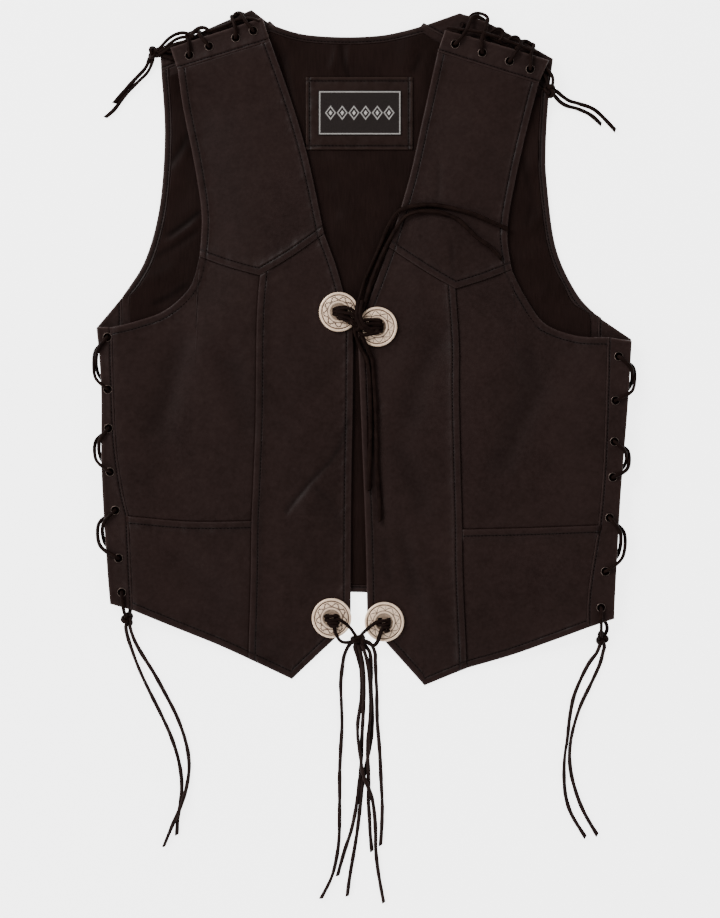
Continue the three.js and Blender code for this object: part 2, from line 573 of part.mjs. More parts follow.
// A front: a yoke, a centre panel, a side panel, a pocket and two strips for the laces
function makeFront(side, hem) {
  const table = FRONTS[side];
  const cut = {};
  const steps = {
    shoulderTop: STEPS.shoulder, shoulderSeam: STEPS.shoulder,
    armholeUpper: STEPS.armholeUpper, neckUpper: STEPS.armholeUpper,
    yokeSide: STEPS.yokeSide, yokeCentre: STEPS.yokeCentre, armholeLower: STEPS.armholeLower,
    stripUpper: STEPS.stripUpper, verticalUpper: STEPS.stripUpper,
    stripLower: STEPS.stripLower, verticalLower: STEPS.stripLower,
    stripOuter: STEPS.stripUpper + STEPS.stripLower,
    welt: STEPS.armholeLower + STEPS.yokeSide, hemSide: STEPS.armholeLower + STEPS.yokeSide,
    hemCentre: STEPS.hemCentre, hemPoint: STEPS.hemPoint,
    neckLower: STEPS.neckLower, frontEdge: STEPS.frontEdge,
  };
  for (const [name, count] of Object.entries(steps)) cut[name] = stretch(table[name], count);
  const seams = [join(cut.stripUpper, cut.stripLower), cut.shoulderSeam];
  const free = [join(cut.neckUpper, cut.neckLower, cut.frontEdge), join(cut.armholeUpper, cut.armholeLower)];
  const under = (x, y) => {
    const inside = Math.min(...free.map((edge) => distance(edge, x, y)));
    const toConcho = Math.min(...Object.values(CONCHOS).map(([cx, cy]) => Math.hypot(x - cx, y - cy)));
    const middle = smooth(inside / PUFF_RUN) * smooth((toConcho - PRESSED.from) / PRESSED.run);
    const lying = LYING_FRONT + PUFF * middle + folded(side, x, y) * middle;
    const raised = lift(seams, LIFT_RUN.front, x, y);
    const past = hem(x) - y;
    const held = 1 - smooth((past - DROOP_START) / DROOP_RUN);
    return (lying * (1 - raised) + LACED_FRONT * raised) * held;
  };
  const sheets = {
    front_yoke: patch({
      top: cut.shoulderSeam,
      bottom: join(cut.yokeSide, cut.yokeCentre),
      left: cut.armholeUpper,
      right: cut.neckUpper,
    }),
    front_side: patch({
      top: join([...cut.armholeLower].reverse(), cut.yokeSide),
      bottom: cut.welt,
      left: cut.stripUpper,
      right: cut.verticalUpper,
    }),
    front_pocket: patch({
      top: cut.welt, bottom: cut.hemSide, left: cut.stripLower, right: cut.verticalLower,
    }),
    front_centre: patch({
      top: cut.yokeCentre,
      bottom: join(cut.hemCentre, cut.hemPoint),
      left: join(cut.verticalUpper, cut.verticalLower),
      right: join(cut.neckLower, cut.frontEdge),
    }),
  };
  for (const [name, sheet] of Object.entries(sheets)) {
    add(`${name}_${side}`, wall(trimmed(sheet, SEAM / 2), under, FRONT_LEATHER), leather);
  }
  const inner = join(cut.stripUpper, cut.stripLower);
  const strips = {
    side: patch({
      top: [cut.stripOuter[0], inner[0]],
      bottom: [cut.stripOuter.at(-1), inner.at(-1)],
      left: cut.stripOuter,
      right: inner,
    }),
    shoulder: patch({
      top: cut.shoulderTop,
      bottom: cut.shoulderSeam,
      left: [cut.shoulderTop[0], cut.shoulderSeam[0]],
      right: [cut.shoulderTop.at(-1), cut.shoulderSeam.at(-1)],
    }),
  };
  for (const [kind, sheet] of Object.entries(strips)) {
    const flat = wall(trimmed(sheet, SEAM / 2), () => LACED_FRONT, BACK_LEATHER);
    const eyelets = EYELETS[kind][side].front;
    add(`${kind}_strip_front_${side}`, punched(flat, eyelets, LACED_FRONT, BACK_LEATHER, true), leather);
  }
}

// The label: a leather patch sewn on the lining, and a woven label on the patch
function makeLabel() {
  const patchPlace = { left: -54.8, right: 45.8, low: 187, high: 255.3 };
  const wovenPlace = { left: -43, right: 35, low: 200.5, high: 242.5 };
  const plate = ({ left, right, low, high }, under, thickness) => {
    const size = [right - left, high - low, thickness];
    const middle = [(left + right) / 2, (low + high) / 2, under + thickness / 2];
    return new THREE.BoxGeometry(...size).translate(...middle);
  };
  const onLining = BACK_LEATHER + LINING + 2 * SEAM;
  add("label_patch", plate(patchPlace, onLining, LABEL_LEATHER), leather);
  add("label_woven", plate(wovenPlace, onLining + LABEL_LEATHER + SEAM, LABEL_CLOTH), weave);
}

// A concho: a turned disc with a raised rim, a groove and a low dome, and two slots
function makeConcho(name, [x, y]) {
  const { radius, slotWide, slotLong, slotApart, sides } = CONCHO;
  const profile = [[0, 0], [radius - 0.6, 0], [radius, 0.7], [radius, 1.8], [radius - 1.2, 2.6],
    [radius - 3.2, 1.9], [radius - 9, 3.1], [0, 3.5]];
  const disc = new THREE.LatheGeometry(profile.map(([r, z]) => new THREE.Vector2(r, z)), sides);
  let concho = solid(disc.rotateX(Math.PI / 2));
  for (const way of [-1, 1]) {
    const slot = new THREE.BoxGeometry(slotWide, slotLong, 8).translate((way * slotApart) / 2, 0, 2);
    concho = concho.subtract(solid(slot));
  }
  add(`concho_${name}`, geometryOf(concho).translate(x, y, CONCHO_SEAT), nickel);
}

// How far a ray from a place goes before it crosses a line of points
function reach(line, [x, y], [dx, dy]) {
  let far = 0;
  for (let i = 0; i < line.length - 1; i++) {
    const [ax, ay] = line[i];
    const [bx, by] = [line[i + 1][0] - ax, line[i + 1][1] - ay];
    const cross = dx * by - dy * bx;
    const t = ((ax - x) * by - (ay - y) * bx) / cross;
    const s = ((ax - x) * dy - (ay - y) * dx) / cross;
    if (t > 0 && s >= -0.2 && s <= 1.2) far = Math.max(far, t);
  }
  return far;
}

// A lace through two rows of eyelets. Between eyelets 1 and 2, 3 and 4, 5 and 6 its two
// strands cross outside, round the edge, and elsewhere they run inside, between the strips.
function lacing(eyelets, frontEdge, backEdge, out, ends) {
  const front = eyelets.front;
  const rows = { front, back: backEyelets(eyelets) };
  const outside = { front: ABOVE, back: BENEATH };
  const other = { front: "back", back: "front" };
  const strand = (start) => {
    let layer = start;
    const points = [];
    const hole = (i, z) => points.push([...rows[layer][i], z]);
    for (let i = 0; i < front.length - 1; i++) {
      if (i % 2 === 1) {
        hole(i, BETWEEN);
        hole(i + 1, BETWEEN);
        continue;
      }
      hole(i, outside[layer]);
      const [a, b] = [front[i], front[i + 1]];
      const middle = [(a[0] + b[0]) / 2, (a[1] + b[1]) / 2];
      const gap = Math.hypot(b[0] - a[0], b[1] - a[1]);
      const step = [(b[0] - a[0]) / gap, (b[1] - a[1]) / gap];
      const near = reach(frontEdge, middle, out);
      const far = Math.max(reach(backEdge, middle, out), near);
      const spread = gap * 0.2;
      const wide = layer === start && start === "back" ? 1 : 0;
      const place = (forth, outward, z) => [
        middle[0] + out[0] * outward + step[0] * forth,
        middle[1] + out[1] * outward + step[1] * forth,
        z,
      ];
      const high = far - near > 4 ? LACED_BACK + BACK_LEATHER : LACED_FRONT + BACK_LEATHER;
      const round = layer === "front"
        ? [place(-spread, far + 1.4, high + 2.2), place(0, far + 2.5, (high + LACED_BACK) / 2),
          place(spread, far + 1.4, BENEATH + 0.3)]
        : [place(-spread, far + 2.6, BENEATH + 0.5), place(0, far + 6.3, (high + LACED_BACK) / 2),
          place(spread, far + 2.6, high + 1.9)];
      if (far - near > 4) {
        const over = place(layer === "front" ? -spread * 1.4 : spread * 1.4, near + 1.5, ABOVE - 0.3);
        if (layer === "front") round.unshift(over);
        else round.push(over);
      }
      points.push(...round);
      layer = other[layer];
      hole(i + 1, outside[layer]);
    }
    const last = front.length - 1;
    if (front.length % 2 === 1) hole(last, outside[layer]);
    else hole(last, BETWEEN);
    return { points, layer };
  };
  const [a, b] = [strand("front"), strand("back")];
  const bar = [[...rows.front[0], BETWEEN], [...rows.back[0], BETWEEN]];
  const [low, high] = ends;
  const endOf = (s) => (s.layer === "back" ? low : high);
  return [
    ...endOf(a).slice().reverse(), ...a.points.slice().reverse(), ...bar, ...b.points, ...endOf(b),
  ];
}

// Moves a path's last point on along its way until the rim of its end meets the knot
function toKnot(points, { at, half }) {
  const [before, last] = points.slice(-2).map((p) => new THREE.Vector3(...p));
  const way = last.clone().sub(before).normalize();
  const across = new THREE.Vector3(0, 0, 1).cross(way).normalize().multiplyScalar(LACE / 2);
  const up = way.clone().cross(across);
  const meets = (further) => [0, 45, 90, 135, 180, 225, 270, 315].some((degrees) => {
    const angle = THREE.MathUtils.degToRad(degrees);
    const rim = last.clone().addScaledVector(way, further)
      .addScaledVector(across, Math.cos(angle)).addScaledVector(up, Math.sin(angle));
    return Math.hypot(...rim.toArray().map((v, k) => (v - at[k]) / (half[k] + KNOT_GAP))) < 1;
  });
  let further = KNOT_REACH.from;
  while (further < KNOT_REACH.to && !meets(further + KNOT_REACH.step)) further += KNOT_REACH.step;
  return [...points.slice(0, -1), last.addScaledVector(way, further).toArray()];
}

function fromKnot(points, knot) {
  return toKnot([...points].reverse(), knot).reverse();
}

function makeLacing(kind, side) {
  const key = `${kind}_${side}`;
  const path = lacing(
    EYELETS[kind][side],
    FRONTS[side][kind === "side" ? "stripOuter" : "shoulderTop"],
    BACK[side][kind === "side" ? "outer" : "shoulderTop"],
    kind === "side" ? [side === "left" ? -1 : 1, 0] : [side === "left" ? -0.36 : 0.33, 0.94],
    LACING_ENDS[key],
  );
  const whole = toKnot(fromKnot(path, KNOTS[key]), KNOTS[key]);
  add(`${kind}_lacing_${side}`, tube(new Threaded(whole), whole.length - 1, 6), lace);
}

function makeConchoLace(name, points) {
  const whole = toKnot(points, KNOTS[name.split("_")[0]]);
  add(`concho_lace_${name}`, tube(new Threaded(whole), whole.length - 1, 8), lace);
}

function makeKnot(name, { at, half }) {
  add(`knot_${name}`, new THREE.SphereGeometry(1, 10, 7).scale(...half).translate(...at), lace);
}

function makeTail(name, points) {
  const key = Object.keys(KNOTS).find((knot) => name.startsWith(knot));
  const places = fromKnot(points, KNOTS[key]).map((p) => new THREE.Vector3(...p));
  const curve = new THREE.CatmullRomCurve3(places);
  add(`tail_${name}`, tube(curve, Math.round(curve.getLength() / TAIL_STEP), 8), lace);
}

const hemLine = stretch(BACK.hem, 40);
function hemAt(x) {
  const i = hemLine.findIndex(([hx]) => hx >= x);
  return hemLine[i < 0 ? hemLine.length - 1 : i][1];
}

makeBack();
makeFront("left", hemAt);
makeFront("right", hemAt);
makeLabel();
for (const [name, place] of Object.entries(CONCHOS)) makeConcho(name, place);
for (const [name, knot] of Object.entries(KNOTS)) makeKnot(name, knot);
for (const kind of ["side", "shoulder"]) {
  for (const side of ["left", "right"]) makeLacing(kind, side);
}
for (const [name, points] of Object.entries(CONCHO_LACES)) makeConchoLace(name, points);
for (const [name, points] of Object.entries(TAILS)) makeTail(name, points);
vest.position.set(-MIDDLE.x, -MIDDLE.y, 0);

export default vest;
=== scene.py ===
# %% [markdown]
# # A laced leather vest, laid flat
# This file dresses a measured model of a leather vest. The vest lies on a table with its
# fronts up. The lined back is at the bottom, the two fronts lie on the lining, and laces
# join front and back along both sides and both shoulders.
#
# The measured model is loaded first and gives every place and size. Each visible piece is
# then made as a surface that numpy works out: leather panels, satin lining, stitches,
# eyelets, metal discs and laces. Lengths here are millimetres and become metres when a
# mesh is made.

# %% The shared frame
import bpy
import numpy as np
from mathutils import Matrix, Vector


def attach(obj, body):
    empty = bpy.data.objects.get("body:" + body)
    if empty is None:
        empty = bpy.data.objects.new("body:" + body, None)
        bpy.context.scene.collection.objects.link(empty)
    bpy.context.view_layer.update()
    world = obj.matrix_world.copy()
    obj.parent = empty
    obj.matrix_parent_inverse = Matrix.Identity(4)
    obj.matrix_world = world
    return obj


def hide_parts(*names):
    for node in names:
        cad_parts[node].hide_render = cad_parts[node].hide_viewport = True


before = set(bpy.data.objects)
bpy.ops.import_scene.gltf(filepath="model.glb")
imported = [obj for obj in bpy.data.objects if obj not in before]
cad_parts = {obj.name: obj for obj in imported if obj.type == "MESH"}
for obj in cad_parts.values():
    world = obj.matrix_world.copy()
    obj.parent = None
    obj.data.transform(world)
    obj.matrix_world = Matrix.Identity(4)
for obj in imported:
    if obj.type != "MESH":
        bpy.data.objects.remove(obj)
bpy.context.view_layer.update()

print("solids of the measured model:", len(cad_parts))

# %% [markdown]
# ## Camera, floor and light
# The vest is seen from straight above, so the camera looks down and the garment's flat
# shape shows without slant. A long lens far away keeps the edges from leaning. The leather
# is nearly black and shows its form only by soft gloss, so wide lamps stand low around the
# vest, brighter on one side: light that comes from straight above would fall back into
# the camera and turn the leather grey.

# %% Camera, floor and light
PIXEL = 0.94 # mm of the vest to one pixel of the picture
PICTURE_HIGH = 918 # pixels
VIEW_MIDDLE = (-3.9, -105.5) # mm, the place in the middle of the picture
VEST_TOP = 8 # mm, the height that is in the middle of what shows
LENS, SENSOR = 85, 36 # mm


def add_camera():
    """A camera that looks straight down. Its distance is the lens length times the picture's
    height on the vest over the sensor's height."""
    data = bpy.data.cameras.new("camera")
    data.lens = LENS
    data.sensor_width = SENSOR
    camera = bpy.data.objects.new("camera", data)
    distance = LENS * PIXEL * PICTURE_HIGH / SENSOR
    camera.location = (VIEW_MIDDLE[0] / 1000, VIEW_MIDDLE[1] / 1000, (distance + VEST_TOP) / 1000)
    bpy.context.collection.objects.link(camera)
    bpy.context.scene.camera = camera
    return camera


def add_lamp(name, place, size, watts):
    """A square lamp at a place in metres, turned towards the vest."""
    data = bpy.data.lights.new(name, "AREA")
    data.size = size
    data.energy = watts
    lamp = bpy.data.objects.new(name, data)
    lamp.location = place
    target = np.array([0.0, -0.1, 0.0]) - place
    lamp.rotation_euler = Vector(target).to_track_quat("-Z", "Y").to_euler()
    bpy.context.collection.objects.link(lamp)


camera = add_camera()
add_lamp("lamp_upper_left", (-1.7, 1.5, 1.5), 1.4, 92)
add_lamp("lamp_upper_right", (1.9, 1.3, 1.5), 1.6, 26)
add_lamp("lamp_lower_left", (-1.8, -1.6, 1.4), 1.6, 46)
add_lamp("lamp_lower_right", (1.8, -1.8, 1.4), 1.6, 27)
world = bpy.data.worlds.new("studio")
world.use_nodes = True
world.node_tree.nodes["Background"].inputs["Color"].default_value = (1, 1, 1, 1)
world.node_tree.nodes["Background"].inputs["Strength"].default_value = 0.2
bpy.context.scene.world = world
print("camera height in metres:", round(camera.location.z, 3))

# %% [markdown]
# ## A small language for materials
# A material's nodes are easier to read as sums than as wires. `Value` wraps one output of
# a node. Adding or multiplying values adds the Math nodes, and every other node comes from
# one method, `node`, which takes the node's type, its settings and its sockets.

# %% Values and finishes
class Value:
    """One output of a material's node."""

    def __init__(self, finish, socket):
        self.finish = finish
        self.socket = socket

    def math(self, operation, first, second):
        return self.finish.node("ShaderNodeMath", {"operation": operation}, {0: first, 1: second})

    def __add__(self, other):
        return self.math("ADD", self, other)

    def __sub__(self, other):
        return self.math("SUBTRACT", self, other)

    def __rsub__(self, other):
        return self.math("SUBTRACT", other, self)

    def __mul__(self, other):
        return self.math("MULTIPLY", self, other)

    __radd__ = __add__
    __rmul__ = __mul__


class Finish:
    """A material that is being made, with a Principled shader at its end."""

    def __init__(self, name, **constants):
        self.material = bpy.data.materials.new(name)
        self.material.use_nodes = True
        self.tree = self.material.node_tree
        self.shader = self.tree.nodes["Principled BSDF"]
        for socket, value in constants.items():
            self.shader.inputs[socket.replace("_", " ")].default_value = value
        self.place = self.node("ShaderNodeTexCoord", output="Object")

    def node(self, kind, settings=None, sockets=None, output=0):
        """A new node with its settings, and with each socket given a number or a wire."""
        made = self.tree.nodes.new(kind)
        for key, value in (settings or {}).items():
            if key == "stops":
                for stop, (place, shade) in zip(made.color_ramp.elements, value):
                    stop.position = place
                    stop.color = shade
            else:
                setattr(made, key, value)
        for key, value in (sockets or {}).items():
            if isinstance(value, Value):
                self.tree.links.new(value.socket, made.inputs[key])
            else:
                made.inputs[key].default_value = value
        return Value(self, made.outputs[output])

    def feed(self, socket, value):
        self.tree.links.new(value.socket, self.shader.inputs[socket])

    def noise(self, size, detail=3.0, place=None):
        """Noise whose lumps are about that many millimetres across."""
        sockets = {"Vector": place or self.place, "Scale": 1000 / size, "Detail": detail}
        return self.node("ShaderNodeTexNoise", {}, sockets)

    def blend(self, share, first, second):
        """The first colour where share is 0 and the second where it is 1."""
        sockets = {0: share, 6: first, 7: second}
        return self.node("ShaderNodeMix", {"data_type": "RGBA"}, sockets, output=2)

    def attribute(self, name):
        return self.node("ShaderNodeAttribute", {"attribute_name": name}, output="Fac")

    def ramp(self, value, low, high):
        """0 below low, 1 above high, and a straight line between them."""
        sockets = {0: value, 1: low, 2: high, 3: 0.0, 4: 1.0}
        return self.node("ShaderNodeMapRange", {"clamp": True}, sockets)

    def bump(self, height, depth, strength=1.0):
        """Dents and bumps of that many millimetres, drawn from a height of 0 to 1."""
        sockets = {"Height": height, "Distance": depth / 1000, "Strength": strength}
        self.feed("Normal", self.node("ShaderNodeBump", {}, sockets))


def colour(red, green, blue):
    """A colour of the screen, 0 to 255, as the light it stands for."""
    return tuple((np.array([red, green, blue]) / 255) ** 2.2) + (1.0,)


print("finishes are ready to be made")

# %% [markdown]
# ## The finishes
# The leather is cowhide with a fine pebbled grain, dyed dark brown and nearly black. Its
# colour is uneven in wide clouds, the valleys of the grain are darker, and where an edge
# is folded and rubbed it is lighter and smoother; part of that lighter colour is a painted
# highlight. That mask comes with the mesh as an attribute, and where it is below zero it is
# painted shade in the stitch grooves and creases. The satin lining is smoother, with fine
# threads that run down it, and its creases get the same painted shade.

# %% Leather
def leather_finish(name, dark, light, rubbed_and_highlight, grain=1.3, depth=0.16):
    """Colour: dark to light by clouds and grain, then rubbed and lighter where the edge mask is 1, which is
    also a painted highlight, and nearly black painted shade where it is -1.
    """
    finish = Finish(name, Specular_IOR_Level=0.1)
    clouds = finish.noise(70, 4.0)
    grain_cells = finish.node(
        "ShaderNodeTexVoronoi",
        {"feature": "SMOOTH_F1"},
        {"Vector": finish.place, "Scale": 1000 / grain, "Smoothness": 0.6},
        output="Distance",
    )
    fibres = finish.noise(3.2, 5.0)
    creases = finish.noise(11, 6.0)
    # Rubbed edges: lighter and smoother from wear, and the lighter colour is also a painted highlight.
    wear_and_painted_light = finish.ramp(finish.attribute("wear_and_painted_light"), 0.0, 1.0)
    # Painted shade: where the edge mask is below 0 the colour goes towards colour(14, 10, 9), as shade in the
    # stitch grooves and creases.
    seam = finish.ramp(finish.attribute("wear_and_painted_light") * -1.0, 0.0, 1.0)
    share = finish.ramp(clouds * 0.45 + fibres * 0.35 + creases * 0.3, 0.3, 0.8)
    shade = finish.blend(seam * 0.55, finish.blend(share, dark, light), colour(14, 10, 9))
    finish.feed("Base Color", finish.blend(wear_and_painted_light * (fibres * 0.7 + 0.55), shade, rubbed_and_highlight))
    finish.feed("Roughness", 0.42 + fibres * 0.2 - wear_and_painted_light * 0.08 - clouds * 0.08)
    height = (1.0 - grain_cells) * 0.55 + fibres * 0.5 + creases * 0.45
    finish.bump(height, depth, 0.9)
    return finish.material


LABEL_LEATHER = leather_finish("label_leather", colour(29, 20, 18), colour(43, 32, 29),
                               colour(50, 39, 35), grain=0.9, depth=0.1)
LEATHER = leather_finish("leather", colour(29, 20, 18), colour(45, 34, 32), colour(56, 44, 42))
STRIP_LEATHER = leather_finish("strip_leather", colour(30, 21, 19), colour(46, 35, 33),
                               colour(64, 51, 48), depth=0.13)
print("made", [m.name for m in (LABEL_LEATHER, LEATHER, STRIP_LEATHER)])

# %% Satin, lace, thread and metal
def satin_finish():
    """Colour by soft clouds, and painted shade in the creases. The threads are noise drawn out along the
    lining's length.
    """
    finish = Finish("satin", Specular_IOR_Level=0.05)
    drawn = finish.node("ShaderNodeMapping", {}, {"Vector": finish.place, "Scale": (1.0, 0.06, 1.0)})
    threads = finish.noise(0.8, 3.0, drawn)
    clouds = finish.noise(45, 3.0)
    share = finish.ramp(clouds * 0.6 + threads * 0.5, 0.3, 0.8)
    # Painted shade: below 0 the mask from the mesh darkens the lining's creases towards colour(12, 8, 7).
    painted_shade = finish.ramp(finish.attribute("wear_and_painted_light") * -1.0, 0.0, 1.0)
    plain = finish.blend(share, colour(24, 17, 15), colour(37, 27, 25))
    finish.feed("Base Color", finish.blend(painted_shade * 0.7, plain, colour(12, 8, 7)))
    finish.feed("Roughness", 0.4 + threads * 0.14)
    finish.bump(threads, 0.06, 0.6)
    return finish.material


def lace_finish(name, dark, light):
    """Dark leather cord with fine lines along it and soft lumps."""
    finish = Finish(name, Specular_IOR_Level=0.03)
    along = finish.node("ShaderNodeUVMap", {"uv_map": "along"})
    drawn = finish.node("ShaderNodeMapping", {}, {"Vector": along, "Scale": (0.25, 3.0, 1.0)})
    lines = finish.node("ShaderNodeTexNoise", {}, {"Vector": drawn, "Scale": 2.0, "Detail": 4.0})
    lumps = finish.noise(6, 3.0)
    share = finish.ramp(lines * 0.6 + lumps * 0.5, 0.35, 0.8)
    finish.feed("Base Color", finish.blend(share, dark, light))
    finish.feed("Roughness", 0.55 + lumps * 0.2)
    finish.bump(lines, 0.25, 0.7)
    return finish.material


def thread_finish(name, shade):
    """Dull thread in a shade, and up to half as light again where its twist catches light."""
    finish = Finish(name, Specular_IOR_Level=0.02)
    twist = finish.noise(0.7, 2.0)
    pale = tuple(min(1.0, c * 1.5) for c in shade[:3]) + (1.0,)
    finish.feed("Base Color", finish.blend(twist, shade, pale))
    finish.feed("Roughness", 0.75 + twist * 0.2)
    finish.bump(twist, 0.1, 0.6)
    return finish.material


def metal_finish(name, bright, dark, rough, metallic=1.0):
    """Bright metal, dark where the attribute hollow is 1, as if black polish stayed there. On the eyelets the
    mask covers all but the rim: the metal is blackened, and the bright rim is a painted highlight.
    """
    finish = Finish(name, Metallic=metallic)
    tarnish = finish.noise(5, 5.0)
    scratches = finish.noise(1.1, 4.0)
    share = finish.ramp(finish.attribute("hollow") * 0.9 + tarnish * 0.35 + scratches * 0.3, 0.3, 1.0)
    finish.feed("Base Color", finish.blend(share, bright, dark))
    finish.feed("Roughness", rough + scratches * 0.16 + share * 0.2)
    finish.bump(scratches, 0.03, 0.5)
    return finish.material


SATIN = satin_finish()
LACE_LEATHER = lace_finish("lace", colour(19, 13, 12), colour(39, 29, 26))
# A lighter copy of the lace, as painted light for the tails that lie on the bright table.
PAINTED_LIGHT_TAIL_LACE = lace_finish("tail", colour(28, 21, 20), colour(52, 41, 38))
THREAD = thread_finish("thread", colour(14, 9, 8))
NICKEL = metal_finish("nickel", colour(255, 222, 192), colour(58, 34, 22), 0.3, 0.25)
GUNMETAL = metal_finish("gunmetal", colour(124, 108, 101), colour(24, 19, 18), 0.34)
print("made", [m.name for m in (SATIN, LACE_LEATHER, PAINTED_LIGHT_TAIL_LACE, THREAD, NICKEL, GUNMETAL)])

# %% [markdown]
# ## From arrays to meshes
# Every piece is an array of places and an array of faces. `add_piece` makes the mesh,
# turns its faces outwards and lets the piece ride on the vest. The sign of the volume that
# the faces enclose says which way they point.

# %% Making a piece
MIDDLE = np.array([0.1, 1.14, 0.0]) # where the measured model's origin is, in mm


def volume_of(places, faces):
    """The volume inside a closed surface: a sixth of each triangle's corner products."""
    total = 0.0
    for second, third in zip(range(1, faces.shape[1] - 1), range(2, faces.shape[1])):
        a, b, c = places[faces[:, 0]], places[faces[:, second]], places[faces[:, third]]
        total += np.einsum("ij,ij->", a, np.cross(b, c)) / 6
    return total


def add_mesh(name, places, faces, finish, values=None, along=None):
    """Makes an object from places (n, 3) in mm and faces (m, 3 or 4). values maps a name
    to one number for each place, and along gives each place's (u, v) on the UV map."""
    centred = places - places.mean(axis=0)
    if volume_of(centred, faces) < 0:
        faces = faces[:, ::-1]
    mesh = bpy.data.meshes.new(name)
    mesh.from_pydata(((places - MIDDLE) / 1000).tolist(), [], faces.tolist())
    for key, numbers in (values or {}).items():
        mesh.attributes.new(key, "FLOAT", "POINT").data.foreach_set("value", np.ravel(numbers))
    if along is not None:
        corners = np.empty(len(mesh.loops), dtype=int)
        mesh.loops.foreach_get("vertex_index", corners)
        mesh.uv_layers.new(name="along").data.foreach_set("uv", along[corners].ravel())
    mesh.polygons.foreach_set("use_smooth", np.ones(len(mesh.polygons), dtype=bool))
    mesh.materials.append(finish)
    piece = bpy.data.objects.new(name, mesh)
    bpy.context.collection.objects.link(piece)
    return piece


def add_piece(name, places, faces, finish, slot, nodes=(), **more):
    """A mesh that rides on the vest, in the place of the measured model's nodes."""
    piece = add_mesh(name, places, faces, finish, **more)
    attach(piece, "root")
    if nodes:
        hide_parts(*nodes)
    return piece


def grid_faces(rows, columns, round_rows=False, round_columns=False):
    """The four-sided faces between the places of a grid, closed round where asked."""
    i = np.arange(rows if round_rows else rows - 1)[:, None]
    j = np.arange(columns if round_columns else columns - 1)[None, :]
    after_i, after_j = (i + 1) % rows, (j + 1) % columns
    corners = [i * columns + j, i * columns + after_j, after_i * columns + after_j, after_i * columns + j]
    return np.stack([np.broadcast_to(c, (i.size, j.size)).ravel() for c in corners], axis=1)


def fan(tip, ring):
    """Triangles from one place to each step of a closed ring of places."""
    return np.stack([np.full(len(ring), tip), ring, np.roll(ring, -1)], axis=1)


print("helpers for meshes are ready")

# %% [markdown]
# ## Smooth lines
# Outlines and laces are drawn by a few spots, and a smooth line goes through them. The
# line is then cut into even steps, because its places become the corners of a mesh.

# %% Lines through spots
def lengths_along(line):
    """The distance of each place from the start, measured along the line."""
    steps = np.linalg.norm(np.diff(line, axis=0), axis=1)
    return np.concatenate([[0.0], np.cumsum(steps)])


def evenly(line, count):
    """count + 1 places at even distances along a line."""
    far = lengths_along(line)
    at = np.linspace(0, far[-1], count + 1)
    return np.stack([np.interp(at, far, line[:, k]) for k in range(line.shape[1])], axis=1)


def through(spots, count):
    """A smooth line through spots, as count + 1 places at even distances along it. Between
    two spots it is a cubic whose slope at each spot is half the step between its neighbours."""
    p = np.array(spots, float)
    last = len(p) - 1
    t = np.linspace(0, last, 60 * last + 1)
    i = np.minimum(t.astype(int), last - 1)
    s = (t - i)[:, None]
    a, b, c, d = p[np.maximum(i - 1, 0)], p[i], p[i + 1], p[np.minimum(i + 2, last)]
    slope_b, slope_c = (c - a) / 2, (d - b) / 2
    line = (2 * (b - c) + slope_b + slope_c) * s**3
    line += (3 * (c - b) - 2 * slope_b - slope_c) * s**2 + slope_b * s + b
    return evenly(line, count)


def joined(*lines):
    """Lines end to end, with the place where two meet kept once."""
    return np.concatenate([lines[0]] + [line[1:] for line in lines[1:]])


def soft(t):
    """0 below 0, 1 above 1, and a smooth S between them."""
    s = np.clip(t, 0, 1)
    return s * s * (3 - 2 * s)


def hump(t, width):
    """1 at 0, falling smoothly to both sides: exp(-(t / width)²)."""
    return np.exp(-((t / width) ** 2))


def rounded(line, rounds=3):
    """Cuts a line's corners off at a quarter and three quarters of each step, again and again."""
    for _ in range(rounds):
        quarter, three = line[:-1] * 0.75 + line[1:] * 0.25, line[:-1] * 0.25 + line[1:] * 0.75
        middle = np.stack([quarter, three], axis=1).reshape(-1, line.shape[1])
        line = np.concatenate([line[:1], middle, line[-1:]])
    return line


print("helpers for lines are ready")

# %% [markdown]
# ## Cord as a swept oval
# A lace is cut leather, rolled until it is nearly round. Its surface is an oval carried
# along the path. The oval's own sideways direction is carried too: at each station it is
# the last one with its share along the path taken off, so the lace never twists suddenly.

# %% Sweeping a lace
LACE_WIDE, LACE_THICK = 3.9, 3.0 # mm
LACE_SIDES = 12


def carried_frame(path, start=(0.0, 0.0, 1.0)):
    """Directions along, aside and up at each place of a path."""
    way = np.gradient(path, axis=0)
    way /= np.linalg.norm(way, axis=1)[:, None]
    up = np.empty_like(way)
    last = np.array(start, float)
    for k, along in enumerate(way):
        last = last - along * (last @ along)
        last /= np.linalg.norm(last)
        up[k] = last
    return way, np.cross(up, way), up


